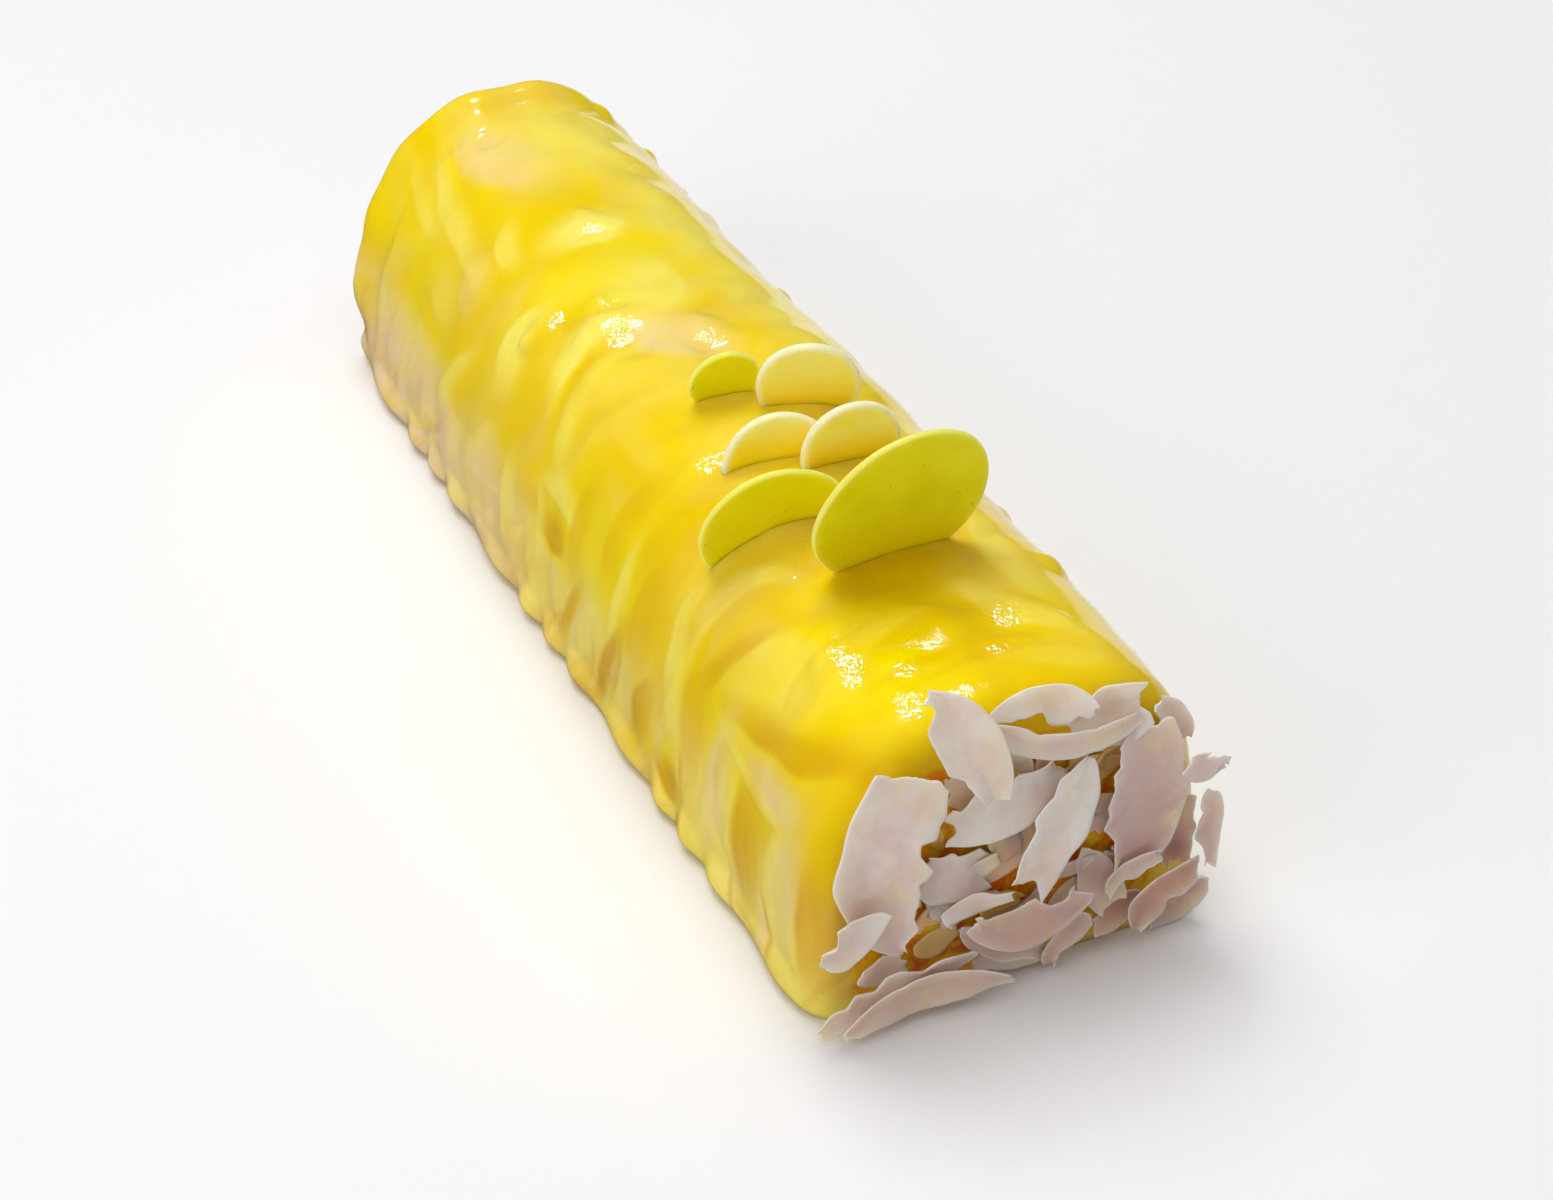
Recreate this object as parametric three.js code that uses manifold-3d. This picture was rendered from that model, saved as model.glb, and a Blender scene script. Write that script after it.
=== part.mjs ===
// A log cake: a round-topped, flat-based cake under a poured glaze, lying along X.
// Six chocolate discs stand in slots in its top, and coconut shavings are stuck over both ends.
// Millimetres, +Z up. The origin is on the ground, under the middle of the log, and +X points
// to the end beyond the discs. "Near" is the +X end and "far" is the -X end.

import * as THREE from 'three';
import { mergeVertices } from 'three/addons/utils/BufferGeometryUtils.js';
import Module from 'manifold-3d';

// ---- driving dimensions -------------------------------------------------------------------

const LENGTH = 260;
const WIDTH = 80;
const HEIGHT = 62.5;
const CLEARANCE = 0.35; // left between any two pieces

// The section is a superellipse, rounder at the far end and squarer at the near end. A swell is the
// width there as a share of WIDTH, and the girth runs over the top from ground to ground.
const SECTION = { farPower: 2.2, nearPower: 3.5, farSwell: 1.03, nearSwell: 1.015, girth: 172 };
// Radius of the glaze where the top and sides turn over on to an end, and how far an end bulges.
const RIM = { far: 3.5, near: 6 };
const END_DOME = 0.8;
const END_MIDDLE = 0.45 * HEIGHT;

// The glaze's unevenness: heights, then wavelengths.
const GLAZE = { sink: 0.4, swell: 0.5, roll: 0.4, fold: 0.55, lump: 0.45, warp: 5.5 };
const WAVES = { swell: 170, roll: 91, fold: 21, lumpAlong: 27, lumpRound: 41, warpAlong: 132, warpRound: 94 };
// The groove that runs round the log just inside the far rim.
const GROOVE = { fromEnd: 15, halfWidth: 4, depth: 0.9 };
// The lip over the top of the far end, where the glaze gathered at the edge.
const LIP = { reach: 11, height: 1.8, middle: 12, halfRound: 66 };
// The glaze's foot: tucked in where it meets the ground, with beads that ran down and set.
const FOOT = { tuck: 1.6, tuckHeight: 3.5 };
// The far end's two lower corners are rounded off.
const CORNER = { reach: 24, depth: 5.5, height: 20 };
const BEADS = { size: 1.5, height: 5.5, middle: 3.5, wave: 18, warpWave: 71 };

// Steps of the log's mesh: along it, round it, over each rim, and in to each end's middle. The foot
// has rows of its own, at these angles up from the ground.
const LOG_STEPS = { along: 44, round: 28, rim: 3, cap: 3 };
const FOOT_ANGLES = [0, 0.035, 0.075, 0.12];

// Discs, from the near end back: place of the centre, radius, how far the top leans towards the near
// end, and the turn about the vertical, in mm and degrees.
const DISCS = {
  disc_green_large: { at: [83.5, -1.6, 74.9], radius: 18.1, lean: 15, turn: 3 },
  disc_green_left: { at: [62.8, -17.3, 61.9], radius: 14.7, lean: 15, turn: -4 },
  disc_white_right: { at: [49.4, 5.1, 65.5], radius: 10.5, lean: 8, turn: -2 },
  disc_white_left: { at: [43.4, -7.3, 61.2], radius: 11.2, lean: -3, turn: -12 },
  disc_white_back: { at: [29.6, 5.6, 68.2], radius: 10.5, lean: 13, turn: -21 },
  disc_green_small: { at: [20.0, -8.3, 67.3], radius: 7.4, lean: 16, turn: -7 },
};
// Thickness, width of the rounded edge, and how deeply a face is dished as a share of its radius.
const DISC_GREEN = { thick: 1.3, edge: 0.45, dish: 0.027 };
const DISC_WHITE = { thick: 2.0, edge: 0.6, dish: 0.027 };
const DISC_SIDES = 30;

// Coconut shavings: thin curved strips, thickest along the middle, torn on the inside of the curve.
const SHAVING = { thick: 1.0, edgeShare: 0.5, stations: 6, across: 3, tear: 0.3, ground: 0.4 };
// Each shaving tries lifting its ends and its edges by up to this many degrees either way, and keeps
// the lean that lies lowest. A degree of lean has to save this many mm.
const LEAN = { end: 24, edge: 12, step: 6, cost: 0.015 };
// The cells in which a pile of shavings is measured: their size, how many rows and columns, how many
// rows lie below the ground, and how far in from the end the log itself is counted.
const PILE = { cell: 0.5, rows: 220, columns: 240, margin: 10, depth: 30 };

// Shavings on the near end, in the order that they were stuck on. Each row is the middle's y and z,
// length, width, angle of the long axis from +Y, the bend along it in degrees (+ = the ends turn to
// the left of the axis), width of the start and of the end as a share of the full width, then how
// far both ends stand out (+) or in (-), and the twist from start to end in degrees.
const NEAR_SHAVINGS = [
  [-2.7, 49.5, 12, 7, -75, -10, 0.5, 0.5, 0.8, 10],
  [-14.2, 30.5, 15, 13, -14, 25, 0.6, 0.6, -0.8, -12],
  [-2.0, 6.0, 17, 7, -13, 30, 0.3, 0.6, 0.8, 14],
  [-5.0, 11.5, 18, 7, -30, 12, 0.3, 0.5, -0.8, -10],
  [21.0, 9.0, 13, 8.5, 15, 27, 0.6, 0.6, 0.8, 12],
  [34.0, 4.5, 14, 9, 23, 45, 0.5, 0.5, 0.8, -14],
  [33.0, 24.0, 17, 9, -86, 7, 0.6, 0.6, 0.8, 8],
  [28.5, 48.5, 12.5, 8, -62, -35, 0.6, 0.7, -0.8, 14],
  [15.5, 56.0, 14, 14.5, 20, -12, 0.6, 0.6, -1.0, 8],
  [2.0, 60.5, 21, 8, -6, -65, 0.15, 0.6, 0.8, 10],
  [-5.0, 44.0, 24, 11, -166, -40, 0.6, 0.8, -1.0, 10],
  [16.0, 18.5, 17, 8.5, -67, -5, 0.4, 0.7, 0.8, -12],
  [-10.5, 23.5, 16, 5.5, 7, 5, 0.5, 0.4, 0.8, 12],
  [-27.0, 11.0, 11, 7, -16, 19, 0.6, 0.5, 0.8, -10],
  [37.5, 24.5, 19, 7, -84, -16, 0.5, 0.4, 1.0, 10],
  [9.0, 4.0, 15, 6, -120, 60, 0.8, 0.3, -0.8, 12],
  [-0.5, 18.5, 25, 11.5, 0, 100, 0.4, 0.6, 1.0, -10],
  [28.5, 11.5, 19, 9.5, 49, -70, 0.12, 0.6, -1.0, 14],
  [21.5, 36.5, 31, 18, -90, -22, 0.75, 0.45, -1.4, 8],
  [21.5, 19.5, 13, 7, -143, 40, 0.5, 0.4, 0.8, -12],
  [4.0, 37.5, 28, 12.5, -118, 6, 0.2, 0.75, -1.2, -16],
  [4.9, 56.5, 33, 5.5, -9, 62, 0.5, 0.6, -1.2, 26],
  [-13.5, 58.5, 28, 11.5, -66, -35, 0.12, 0.5, -1.4, 12],
  [-26.0, 34.0, 41, 17, -90, 60, 0.95, 0.12, -1.6, 10],
  [-35.5, 23.5, 14, 10, 52, 50, 0.25, 0.8, 1.0, 12],
  [36.0, 39.5, 18, 7.5, -38, 7, 0.9, 0.1, -0.8, -10],
  [-26.0, 8.0, 33, 9.5, 13, 4, 0.3, 0.4, 1.2, 26],
  [-20.0, 5.5, 35, 8.5, 2, -30, 0.3, 0.25, 1.4, 20],
];

// The far end is covered by a rule: shavings at even angles, from the middle outwards.
const FAR = { count: 20, reach: 25, middle: 26, squash: 0.8, shortest: 13, longest: 30 };

// ---- small helpers ------------------------------------------------------------------------

const lerp = THREE.MathUtils.lerp;
const rad = THREE.MathUtils.degToRad;
// 0 up to from and 1 past to, or the other way along where to is the smaller.
const smoothstep = (value, from, to) => {
  const share = THREE.MathUtils.clamp((value - from) / (to - from), 0, 1);
  return share * share * (3 - 2 * share);
};
const hash = (n) => {
  const s = Math.sin(n * 12.9898 + 4.1) * 43758.5453;
  return s - Math.floor(s);
};
const bump = (t) => (Math.abs(t) < 1 ? (1 - t * t) ** 2 : 0);
const wave = (distance, length, phase = 0) => Math.sin((2 * Math.PI * distance) / length + phase);

// Grids of points are arrays of rows, and a row is an array of [x, y, z].

function meshGeometry(points, triangles) {
  const geometry = new THREE.BufferGeometry();
  geometry.setAttribute('position', new THREE.Float32BufferAttribute(points.flat(), 3));
  geometry.setIndex(triangles.flat());
  return geometry;
}

// ---- the log ------------------------------------------------------------------------------

// Distance from the middle of the base to the plain section's outline, at angle phi from +Y.
function sectionRadius(x, phi) {
  const share = x / LENGTH + 0.5;
  const power = lerp(SECTION.farPower, SECTION.nearPower, share);
  const half = (WIDTH / 2) * lerp(SECTION.farSwell, SECTION.nearSwell, share);
  const across = (Math.abs(Math.cos(phi)) / half) ** power;
  const up = (Math.sin(phi) / HEIGHT) ** power;
  return (across + up) ** (-1 / power);
}

// How far the glaze stands out from the plain section: broad unevenness, folds that ran down from
// the ridge, lumps, and the groove and the lip by the far rim.
function relief(x, phi) {
  const s = SECTION.girth * (phi / Math.PI - 0.5); // distance round from the ridge
  const warp = GLAZE.warp * (wave(x, WAVES.warpAlong, 0.8) + wave(s + 0.45 * x, WAVES.warpRound));
  const swell = GLAZE.swell * wave(x + 0.7 * s, WAVES.swell, 1.1);
  const roll = GLAZE.roll * wave(x - 0.6 * s, WAVES.roll, 0.4);
  const folds = GLAZE.fold * wave(x + 0.3 * Math.abs(s) + warp, WAVES.fold);
  const lumps = GLAZE.lump * wave(x - warp + 0.5 * s, WAVES.lumpAlong) * wave(s - 0.3 * x, WAVES.lumpRound);
  const groove = -GROOVE.depth * bump((x + LENGTH / 2 - GROOVE.fromEnd) / GROOVE.halfWidth);
  const onLip = smoothstep(x + LENGTH / 2, LIP.reach, LIP.reach / 2);
  const lip = LIP.height * onLip * bump((s - LIP.middle) / LIP.halfRound);
  return swell + roll + folds + lumps + groove + lip - GLAZE.sink;
}

function footRelief(x, z) {
  const tuck = -FOOT.tuck * Math.max(0, 1 - z / FOOT.tuckHeight) ** 2;
  const beads = 0.5 + 0.5 * wave(x, BEADS.wave, 1.8 * wave(x, BEADS.warpWave));
  const byEnd = Math.max(0, 1 - (x + LENGTH / 2) / CORNER.reach) ** 2;
  const corner = -CORNER.depth * byEnd * Math.max(0, 1 - z / CORNER.height);
  return tuck + corner + BEADS.size * beads * bump((z - BEADS.middle) / BEADS.height);
}

// A ring of points round the log at x, taken in by inset towards the middle of the base.
function ring(x, inset, angles) {
  return angles.map((phi) => {
    const plain = sectionRadius(x, phi);
    const offGround = Math.min(1, 6 * Math.sin(phi)); // the outline on the ground is nearly straight
    const r = plain + offGround * relief(x, phi) + footRelief(x, plain * Math.sin(phi)) - inset;
    return [x, r * Math.cos(phi), Math.max(0, r * Math.sin(phi))];
  });
}

// The log's rings from the far end's middle point to the near end's, each end slightly domed.
function logRings() {
  const { along, round, rim, cap } = LOG_STEPS;
  const angles = [...FOOT_ANGLES];
  const first = FOOT_ANGLES.at(-1);
  for (let k = 1; k < round; k += 1) angles.push(lerp(first, Math.PI - first, k / round));
  angles.push(...FOOT_ANGLES.map((a) => Math.PI - a).reverse());

  const turned = (side, radius, share) => {
    const turn = (Math.PI / 2) * share;
    const x = side * (LENGTH / 2 - END_DOME - radius * (1 - Math.sin(turn)));
    return ring(x, radius * (1 - Math.cos(turn)), angles);
  };
  const domed = (side, radius, share) => {
    const rise = side * END_DOME * (1 - (1 - share) ** 2);
    const inwards = ([x, y, z]) => [x + rise, lerp(y, 0, share), lerp(z, END_MIDDLE, share)];
    return turned(side, radius, 1).map(inwards);
  };

  const rings = [];
  for (let k = cap; k > 0; k -= 1) rings.push(domed(-1, RIM.far, k / cap));
  for (let k = rim; k >= 0; k -= 1) rings.push(turned(-1, RIM.far, k / rim));
  const start = rings.at(-1)[0][0];
  const end = turned(1, RIM.near, 0)[0][0];
  for (let k = 1; k < along; k += 1) rings.push(ring(lerp(start, end, k / along), 0, angles));
  for (let k = 0; k <= rim; k += 1) rings.push(turned(1, RIM.near, k / rim));
  for (let k = 1; k <= cap; k += 1) rings.push(domed(1, RIM.near, k / cap));
  return rings;
}

function logGeometry(rings) {
  const n = rings[0].length;
  const triangles = [];
  for (let i = 0; i + 1 < rings.length; i += 1) {
    for (let j = 0; j < n; j += 1) {
      const a = i * n + j;
      const b = i * n + ((j + 1) % n);
      if (i > 0) triangles.push([a, b, b + n]);
      if (i + 2 < rings.length) triangles.push([a, b + n, a + n]);
    }
  }
  return meshGeometry(rings.flat(), triangles);
}

// ---- discs --------------------------------------------------------------------------------

const isGreen = (name) => name.startsWith('disc_green');

// A round-edged disc, slightly dished, with its axis along X. grow makes it larger all round.
function discGeometry(name, grow = 0) {
  const { radius } = DISCS[name];
  const { thick, edge, dish } = isGreen(name) ? DISC_GREEN : DISC_WHITE;
  const r = radius + grow;
  const half = thick / 2 + grow;
  const dished = (d, h) => new THREE.Vector2(d, h + dish * radius * ((d / radius) ** 2 - 0.5));
  const profile = [
    dished(0, -half),
    dished(r - edge, -half),
    dished(r, -half + edge),
    dished(r, half - edge),
    dished(r - edge, half),
    dished(0, half),
  ];
  return new THREE.LatheGeometry(profile, DISC_SIDES).rotateZ(-Math.PI / 2);
}

function placeDisc(object, name) {
  const { at, lean, turn } = DISCS[name];
  object.position.set(...at);
  object.rotation.set(0, rad(lean), rad(turn), 'ZYX');
  object.updateMatrix();
  return object;
}

// ---- coconut shavings ---------------------------------------------------------------------

// Both faces of a shaving, as grids of points: u runs along it, v across and h outwards.
function shavingFaces({ length, width, bend, start, end, curl, twist, seed }) {
  const { stations, across, thick, edgeShare, tear } = SHAVING;
  const arc = rad(Math.abs(bend) < 1 ? 1 : bend);
  const outer = [];
  const inner = [];
  for (let i = 0; i <= stations; i += 1) {
    const t = i / stations;
    const away = (2 * t - 1) ** 2; // 0 in the middle, 1 at both ends
    const heading = (t - 0.5) * arc;
    const centreU = (Math.sin(heading) * length) / arc;
    const centreV = (((1 + Math.cos(arc / 2)) / 2 - Math.cos(heading)) * length) / arc;
    const taper = lerp(1, t < 0.5 ? start : end, away);
    const roll = rad(twist) * (t - 0.5);
    const lift = curl * (away - 0.33) + 0.3 * Math.sin(seed * 5 + t * 7);
    outer.push([]);
    inner.push([]);
    for (let j = 0; j <= across; j += 1) {
      const q = (2 * j) / across - 1;
      const rough = Math.abs(q) < 1 ? 0 : q * bend > 0 ? 1.2 : 0.5;
      const side = (q * width * taper * (1 + rough * tear * (hash(seed * 7 + i * 3.1) - 0.5))) / 2;
      const slip = 0.5 * width * taper * (hash(seed + j * 1.7) - 0.5) * away ** 4; // ends not cut square
      const v = side * Math.cos(roll);
      const h = lift + side * Math.sin(roll) + 0.4 * (q * q - 0.4);
      const u = centreU + slip - v * Math.sin(heading);
      const w = centreV + v * Math.cos(heading);
      const half = (thick * lerp(1, edgeShare, Math.max(q * q, away ** 2))) / 2;
      outer[i].push([u, w, h + half]);
      inner[i].push([u, w, h - half]);
    }
  }
  return { outer, inner };
}

// The closed solid between the two faces, each split into triangles alike.
function shavingGeometry({ outer, inner }) {
  const { stations, across } = SHAVING;
  const row = across + 1;
  const n = outer.flat().length;
  const triangles = [];
  for (let i = 0; i < stations; i += 1) {
    for (let j = 0; j < across; j += 1) {
      const a = i * row + j;
      const b = a + row;
      triangles.push([a, b, b + 1], [a, b + 1, a + 1]);
      triangles.push([n + a, n + b + 1, n + b], [n + a, n + a + 1, n + b + 1]);
    }
  }
  const edge = [];
  for (let i = 0; i < stations; i += 1) edge.push(i * row);
  for (let j = 0; j < across; j += 1) edge.push(stations * row + j);
  for (let i = stations; i > 0; i -= 1) edge.push(i * row + across);
  for (let j = across; j > 0; j -= 1) edge.push(j);
  edge.forEach((a, k) => {
    const b = edge[(k + 1) % edge.length];
    triangles.push([a, n + b, b], [a, n + a, n + b]);
  });
  return meshGeometry([...outer.flat(), ...inner.flat()], triangles);
}

// What lies on an end of the log, as its distance out from the middle of the log in small square
// cells. A shaving is moved straight out until it clears what is under it, so that it rests on it.
class Pile {
  constructor(side, rings) {
    this.side = side;
    this.height = new Float32Array(PILE.columns * PILE.rows).fill(-LENGTH);
    const nearby = rings.filter((points) => side * points[0][0] > LENGTH / 2 - PILE.depth);
    this.cover(nearby.map((points) => [...points, points[0]]), new THREE.Matrix4());
  }

  // Visits points spread evenly over a grid's quads, with their distance out and their cell.
  spread(grid, matrix, visit) {
    const world = grid.map((row) => row.map((p) => new THREE.Vector3(...p).applyMatrix4(matrix)));
    const p = new THREE.Vector3();
    const q = new THREE.Vector3();
    for (let i = 0; i + 1 < world.length; i += 1) {
      for (let j = 0; j + 1 < world[i].length; j += 1) {
        const [a, b] = [world[i][j], world[i][j + 1]];
        const [c, d] = [world[i + 1][j], world[i + 1][j + 1]];
        const down = Math.ceil(Math.max(a.distanceTo(c), b.distanceTo(d)) / PILE.cell);
        const over = Math.ceil(Math.max(a.distanceTo(b), c.distanceTo(d)) / PILE.cell);
        for (let m = 0; m <= down; m += 1) {
          p.lerpVectors(a, c, m / down);
          q.lerpVectors(b, d, m / down);
          for (let n = 0; n <= over; n += 1) {
            const column = Math.floor(lerp(p.y, q.y, n / over) / PILE.cell + PILE.columns / 2);
            const row = Math.floor(lerp(p.z, q.z, n / over) / PILE.cell + PILE.margin);
            visit(this.side * lerp(p.x, q.x, n / over), row * PILE.columns + column);
          }
        }
      }
    }
  }

  // How far out a shaving has to be moved to clear the pile.
  clearOf(grid, matrix) {
    let out = -Infinity;
    this.spread(grid, matrix, (x, k) => {
      out = Math.max(out, this.height[k] + CLEARANCE - x);
    });
    return out;
  }

  // Adds a grid to the pile, and one cell all round it for the clearance to its sides.
  cover(grid, matrix) {
    const c = PILE.columns;
    const around = [0, -1, 1, -c, c, -c - 1, -c + 1, c - 1, c + 1];
    this.spread(grid, matrix, (x, k) => {
      for (const step of around) this.height[k + step] = Math.max(this.height[k + step], x);
    });
  }
}

// Turns a shaving to its place on an end, which is seen from outside with +u to the right and +v up.
function turnShaving(mesh, faces, side, { y, z, angle, leanEnd, leanEdge }) {
  const ends = new THREE.Matrix4().makeBasis(
    new THREE.Vector3(0, side, 0),
    new THREE.Vector3(0, 0, 1),
    new THREE.Vector3(side, 0, 0),
  );
  const lean = new THREE.Euler(rad(leanEdge), rad(-leanEnd), rad(angle), 'ZYX');
  mesh.quaternion.setFromRotationMatrix(ends).multiply(new THREE.Quaternion().setFromEuler(lean));
  mesh.position.set(0, side * y, z);
  mesh.updateMatrix();
  const points = [...faces.outer.flat(), ...faces.inner.flat()].map((p) => new THREE.Vector3(...p));
  const lowest = Math.min(...points.map((p) => p.applyMatrix4(mesh.matrix).z));
  mesh.position.z += Math.max(0, SHAVING.ground - lowest);
  mesh.updateMatrix();
  return Math.max(...points.map((p) => side * p.x));
}

function makeShaving(name, pile, row, seed) {
  const [y, z, length, width, angle, bend, start, end, curl, twist] = row;
  const faces = shavingFaces({ length, width, bend, start, end, curl, twist, seed });
  const mesh = new THREE.Mesh(shavingGeometry(faces), coconut);
  mesh.name = name;
  let best = { score: Infinity };
  for (let leanEnd = -LEAN.end; leanEnd <= LEAN.end; leanEnd += LEAN.step) {
    for (let leanEdge = -LEAN.edge; leanEdge <= LEAN.edge; leanEdge += LEAN.step) {
      const place = { y, z, angle, leanEnd, leanEdge };
      const top = turnShaving(mesh, faces, pile.side, place);
      const out = pile.clearOf(faces.inner, mesh.matrix);
      const score = out + 0.3 * top + LEAN.cost * (Math.abs(leanEnd) + Math.abs(leanEdge));
      if (score < best.score) best = { score, out, place };
    }
  }
  turnShaving(mesh, faces, pile.side, best.place);
  mesh.position.x = pile.side * best.out;
  mesh.updateMatrix();
  pile.cover(faces.outer, mesh.matrix);
  return mesh;
}

function farShavings() {
  const rows = [];
  for (let k = 0; k < FAR.count; k += 1) {
    const turn = rad(k * 137.5);
    const reach = FAR.reach * Math.sqrt((k + 0.6) / FAR.count);
    const length = lerp(FAR.shortest, FAR.longest, hash(k + 31) ** 1.5);
    rows.push([
      reach * Math.cos(turn),
      FAR.middle + FAR.squash * reach * Math.sin(turn),
      length,
      5 + 0.25 * length * (0.6 + hash(k + 57)),
      360 * hash(k + 84),
      90 * (hash(k + 11) - 0.5),
      0.15 + 0.5 * hash(k + 41),
      0.15 + 0.5 * hash(k + 43),
      2.4 * (hash(k + 17) - 0.5),
      30 * (hash(k + 23) - 0.5),
    ]);
  }
  return rows;
}

// ---- the cake -----------------------------------------------------------------------------

const glaze = new THREE.MeshStandardMaterial({ color: 0xe6c42a, roughness: 0.18, metalness: 0 });
const green = new THREE.MeshStandardMaterial({ color: 0xb8b81c, roughness: 0.45, metalness: 0 });
const white = new THREE.MeshStandardMaterial({ color: 0xf2e3a8, roughness: 0.45, metalness: 0 });
const coconut = new THREE.MeshStandardMaterial({ color: 0xefe3dc, roughness: 0.5, metalness: 0 });

const wasm = await Module();
wasm.setup();

function toManifold(geometry, matrix) {
  const bare = new THREE.BufferGeometry();
  bare.setAttribute('position', geometry.getAttribute('position').clone());
  bare.setIndex(geometry.getIndex());
  if (matrix) bare.applyMatrix4(matrix);
  const merged = mergeVertices(bare, 1e-4);
  return new wasm.Manifold(
    new wasm.Mesh({
      numProp: 3,
      vertProperties: new Float32Array(merged.getAttribute('position').array),
      triVerts: new Uint32Array(merged.getIndex().array),
    }),
  );
}

function fromManifold(solid) {
  const mesh = solid.getMesh();
  const geometry = new THREE.BufferGeometry();
  geometry.setAttribute('position', new THREE.BufferAttribute(mesh.vertProperties, 3));
  geometry.setIndex(new THREE.BufferAttribute(mesh.triVerts, 1));
  return geometry;
}

// the log, with a slot for each disc
const rings = logRings();
let body = toManifold(logGeometry(rings));
for (const name of Object.keys(DISCS)) {
  const { matrix } = placeDisc(new THREE.Object3D(), name);
  body = body.subtract(toManifold(discGeometry(name, CLEARANCE), matrix));
}

const cake = new THREE.Group();
const log = new THREE.Mesh(fromManifold(body), glaze);
log.name = 'log';
cake.add(log);

for (const name of Object.keys(DISCS)) {
  const mesh = new THREE.Mesh(discGeometry(name), isGreen(name) ? green : white);
  mesh.name = name;
  cake.add(placeDisc(mesh, name));
}

const pad = (k) => String(k + 1).padStart(2, '0');
const nearPile = new Pile(1, rings);
NEAR_SHAVINGS.forEach((row, k) => cake.add(makeShaving(`coconut_near_${pad(k)}`, nearPile, row, k + 1)));
const farPile = new Pile(-1, rings);
farShavings().forEach((row, k) => cake.add(makeShaving(`coconut_far_${pad(k)}`, farPile, row, k + 101)));

export default cake;
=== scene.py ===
"""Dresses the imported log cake: marbled glaze, chocolate discs and coconut shavings."""

import math

import bpy
import numpy as np
from mathutils import Matrix, Vector


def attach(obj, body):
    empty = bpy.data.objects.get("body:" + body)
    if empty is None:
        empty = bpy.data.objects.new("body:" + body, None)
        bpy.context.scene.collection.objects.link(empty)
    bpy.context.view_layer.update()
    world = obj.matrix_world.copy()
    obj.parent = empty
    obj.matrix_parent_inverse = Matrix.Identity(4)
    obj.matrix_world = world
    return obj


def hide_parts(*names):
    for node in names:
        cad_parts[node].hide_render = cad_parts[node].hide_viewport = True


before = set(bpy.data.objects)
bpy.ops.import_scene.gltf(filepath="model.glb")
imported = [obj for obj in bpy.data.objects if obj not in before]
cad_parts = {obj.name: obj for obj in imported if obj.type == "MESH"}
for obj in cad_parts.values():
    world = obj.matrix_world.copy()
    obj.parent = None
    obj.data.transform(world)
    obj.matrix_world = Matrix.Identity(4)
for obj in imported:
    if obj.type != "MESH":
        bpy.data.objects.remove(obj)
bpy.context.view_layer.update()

MM = 0.001  # the shapes below are worked out in millimetres

# ---- the log's form, as the CAD source has it, in mm ----

LENGTH, WIDTH, HEIGHT = 260.0, 80.0, 62.5
GIRTH = 172.0  # over the top, from ground to ground
FAR_POWER, NEAR_POWER = 2.2, 3.5  # of the superellipse that the section is: squarer near
FAR_SWELL, NEAR_SWELL = 1.03, 1.015  # the width there as a share of WIDTH
RIM_FAR, RIM_NEAR = 3.5, 6.0  # radius where the glaze turns over on to an end
END_DOME = 0.8  # how far an end bulges
END_MIDDLE = 0.45 * HEIGHT

# The glaze's unevenness: how high it is, then its wavelengths. WARP pushes the folds and lumps along.
# Folds, lumps and groove are lower than in the source, because finer relief lies over them here.
SWELL, SWELL_WAVE = 0.5, 170
ROLL, ROLL_WAVE = 0.4, 91
FOLD, FOLD_WAVE = 0.2, 21
LUMP, LUMP_ALONG, LUMP_ROUND = 0.25, 27, 41
WARP, WARP_ALONG, WARP_ROUND = 5.5, 132, 94
SINK = 0.4  # off the whole, so that the high places keep within the height

# The groove and the lip by the far end. The lip is whole up to LIP_FLAT from the end and gone at
# LIP_REACH, and LIP_MIDDLE is where it is highest on the way round.
GROOVE_DEPTH, GROOVE_FROM_END, GROOVE_HALF_WIDTH = 0.55, 15, 5
LIP_HEIGHT, LIP_FLAT, LIP_REACH = 1.8, 5, 12
LIP_MIDDLE, LIP_HALF_ROUND = 12, 66
LIP_UNEVEN, LIP_UNEVEN_REACH = 0.7, 17
WANDER, SMALL_WANDER = 2.2, 0.8  # how far both stray along the log

# The foot: how far it is tucked in, the far corners that round off, and the beads that ran down.
FOOT_TUCK, FOOT_TUCK_HEIGHT = 1.6, 3.5
CORNER_DEPTH, CORNER_REACH, CORNER_HEIGHT = 5.5, 24, 20
BEAD_SIZE, BEAD_MIDDLE, BEAD_HEIGHT = 1.5, 3.5, 5.5
BEAD_WAVE, BEAD_WARP, BEAD_WARP_WAVE = 18, 1.8, 71

# ---- discs: centre, radius, lean and turn in degrees, as the CAD source has them ----

DISCS = {
    "disc_green_large": ((83.5, -1.6, 74.9), 18.1, 15, 3),
    "disc_green_left": ((62.8, -17.3, 61.9), 14.7, 15, -4),
    "disc_white_right": ((49.4, 5.1, 65.5), 10.5, 8, -2),
    "disc_white_left": ((43.4, -7.3, 61.2), 11.2, -3, -12),
    "disc_white_back": ((29.6, 5.6, 68.2), 10.5, 13, -21),
    "disc_green_small": ((20.0, -8.3, 67.3), 7.4, 16, -7),
}
# Thickness, width of the rounded edge, and how far in the rim's painted highlight fades, in edge
# widths.
GREEN_DISC = (1.3, 0.45, 1.3)
WHITE_DISC = (2.0, 0.75, 2.6)
DISH = 0.027  # how deeply a face is dished, as a share of the radius

# ---- marbling, drops and sparkles ----

# A place on the glaze is x and s, in mm. s is the distance round the log from the ridge, and it is
# positive on the side of -Y, which the photo shows.
#
# Each stroke is its middle's x and s, length, width, angle from +X in degrees, bow to one side, how
# much one end is the wider, and strength. Its edge is sharp on the left as one goes along it, and
# fades on the right.

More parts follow.
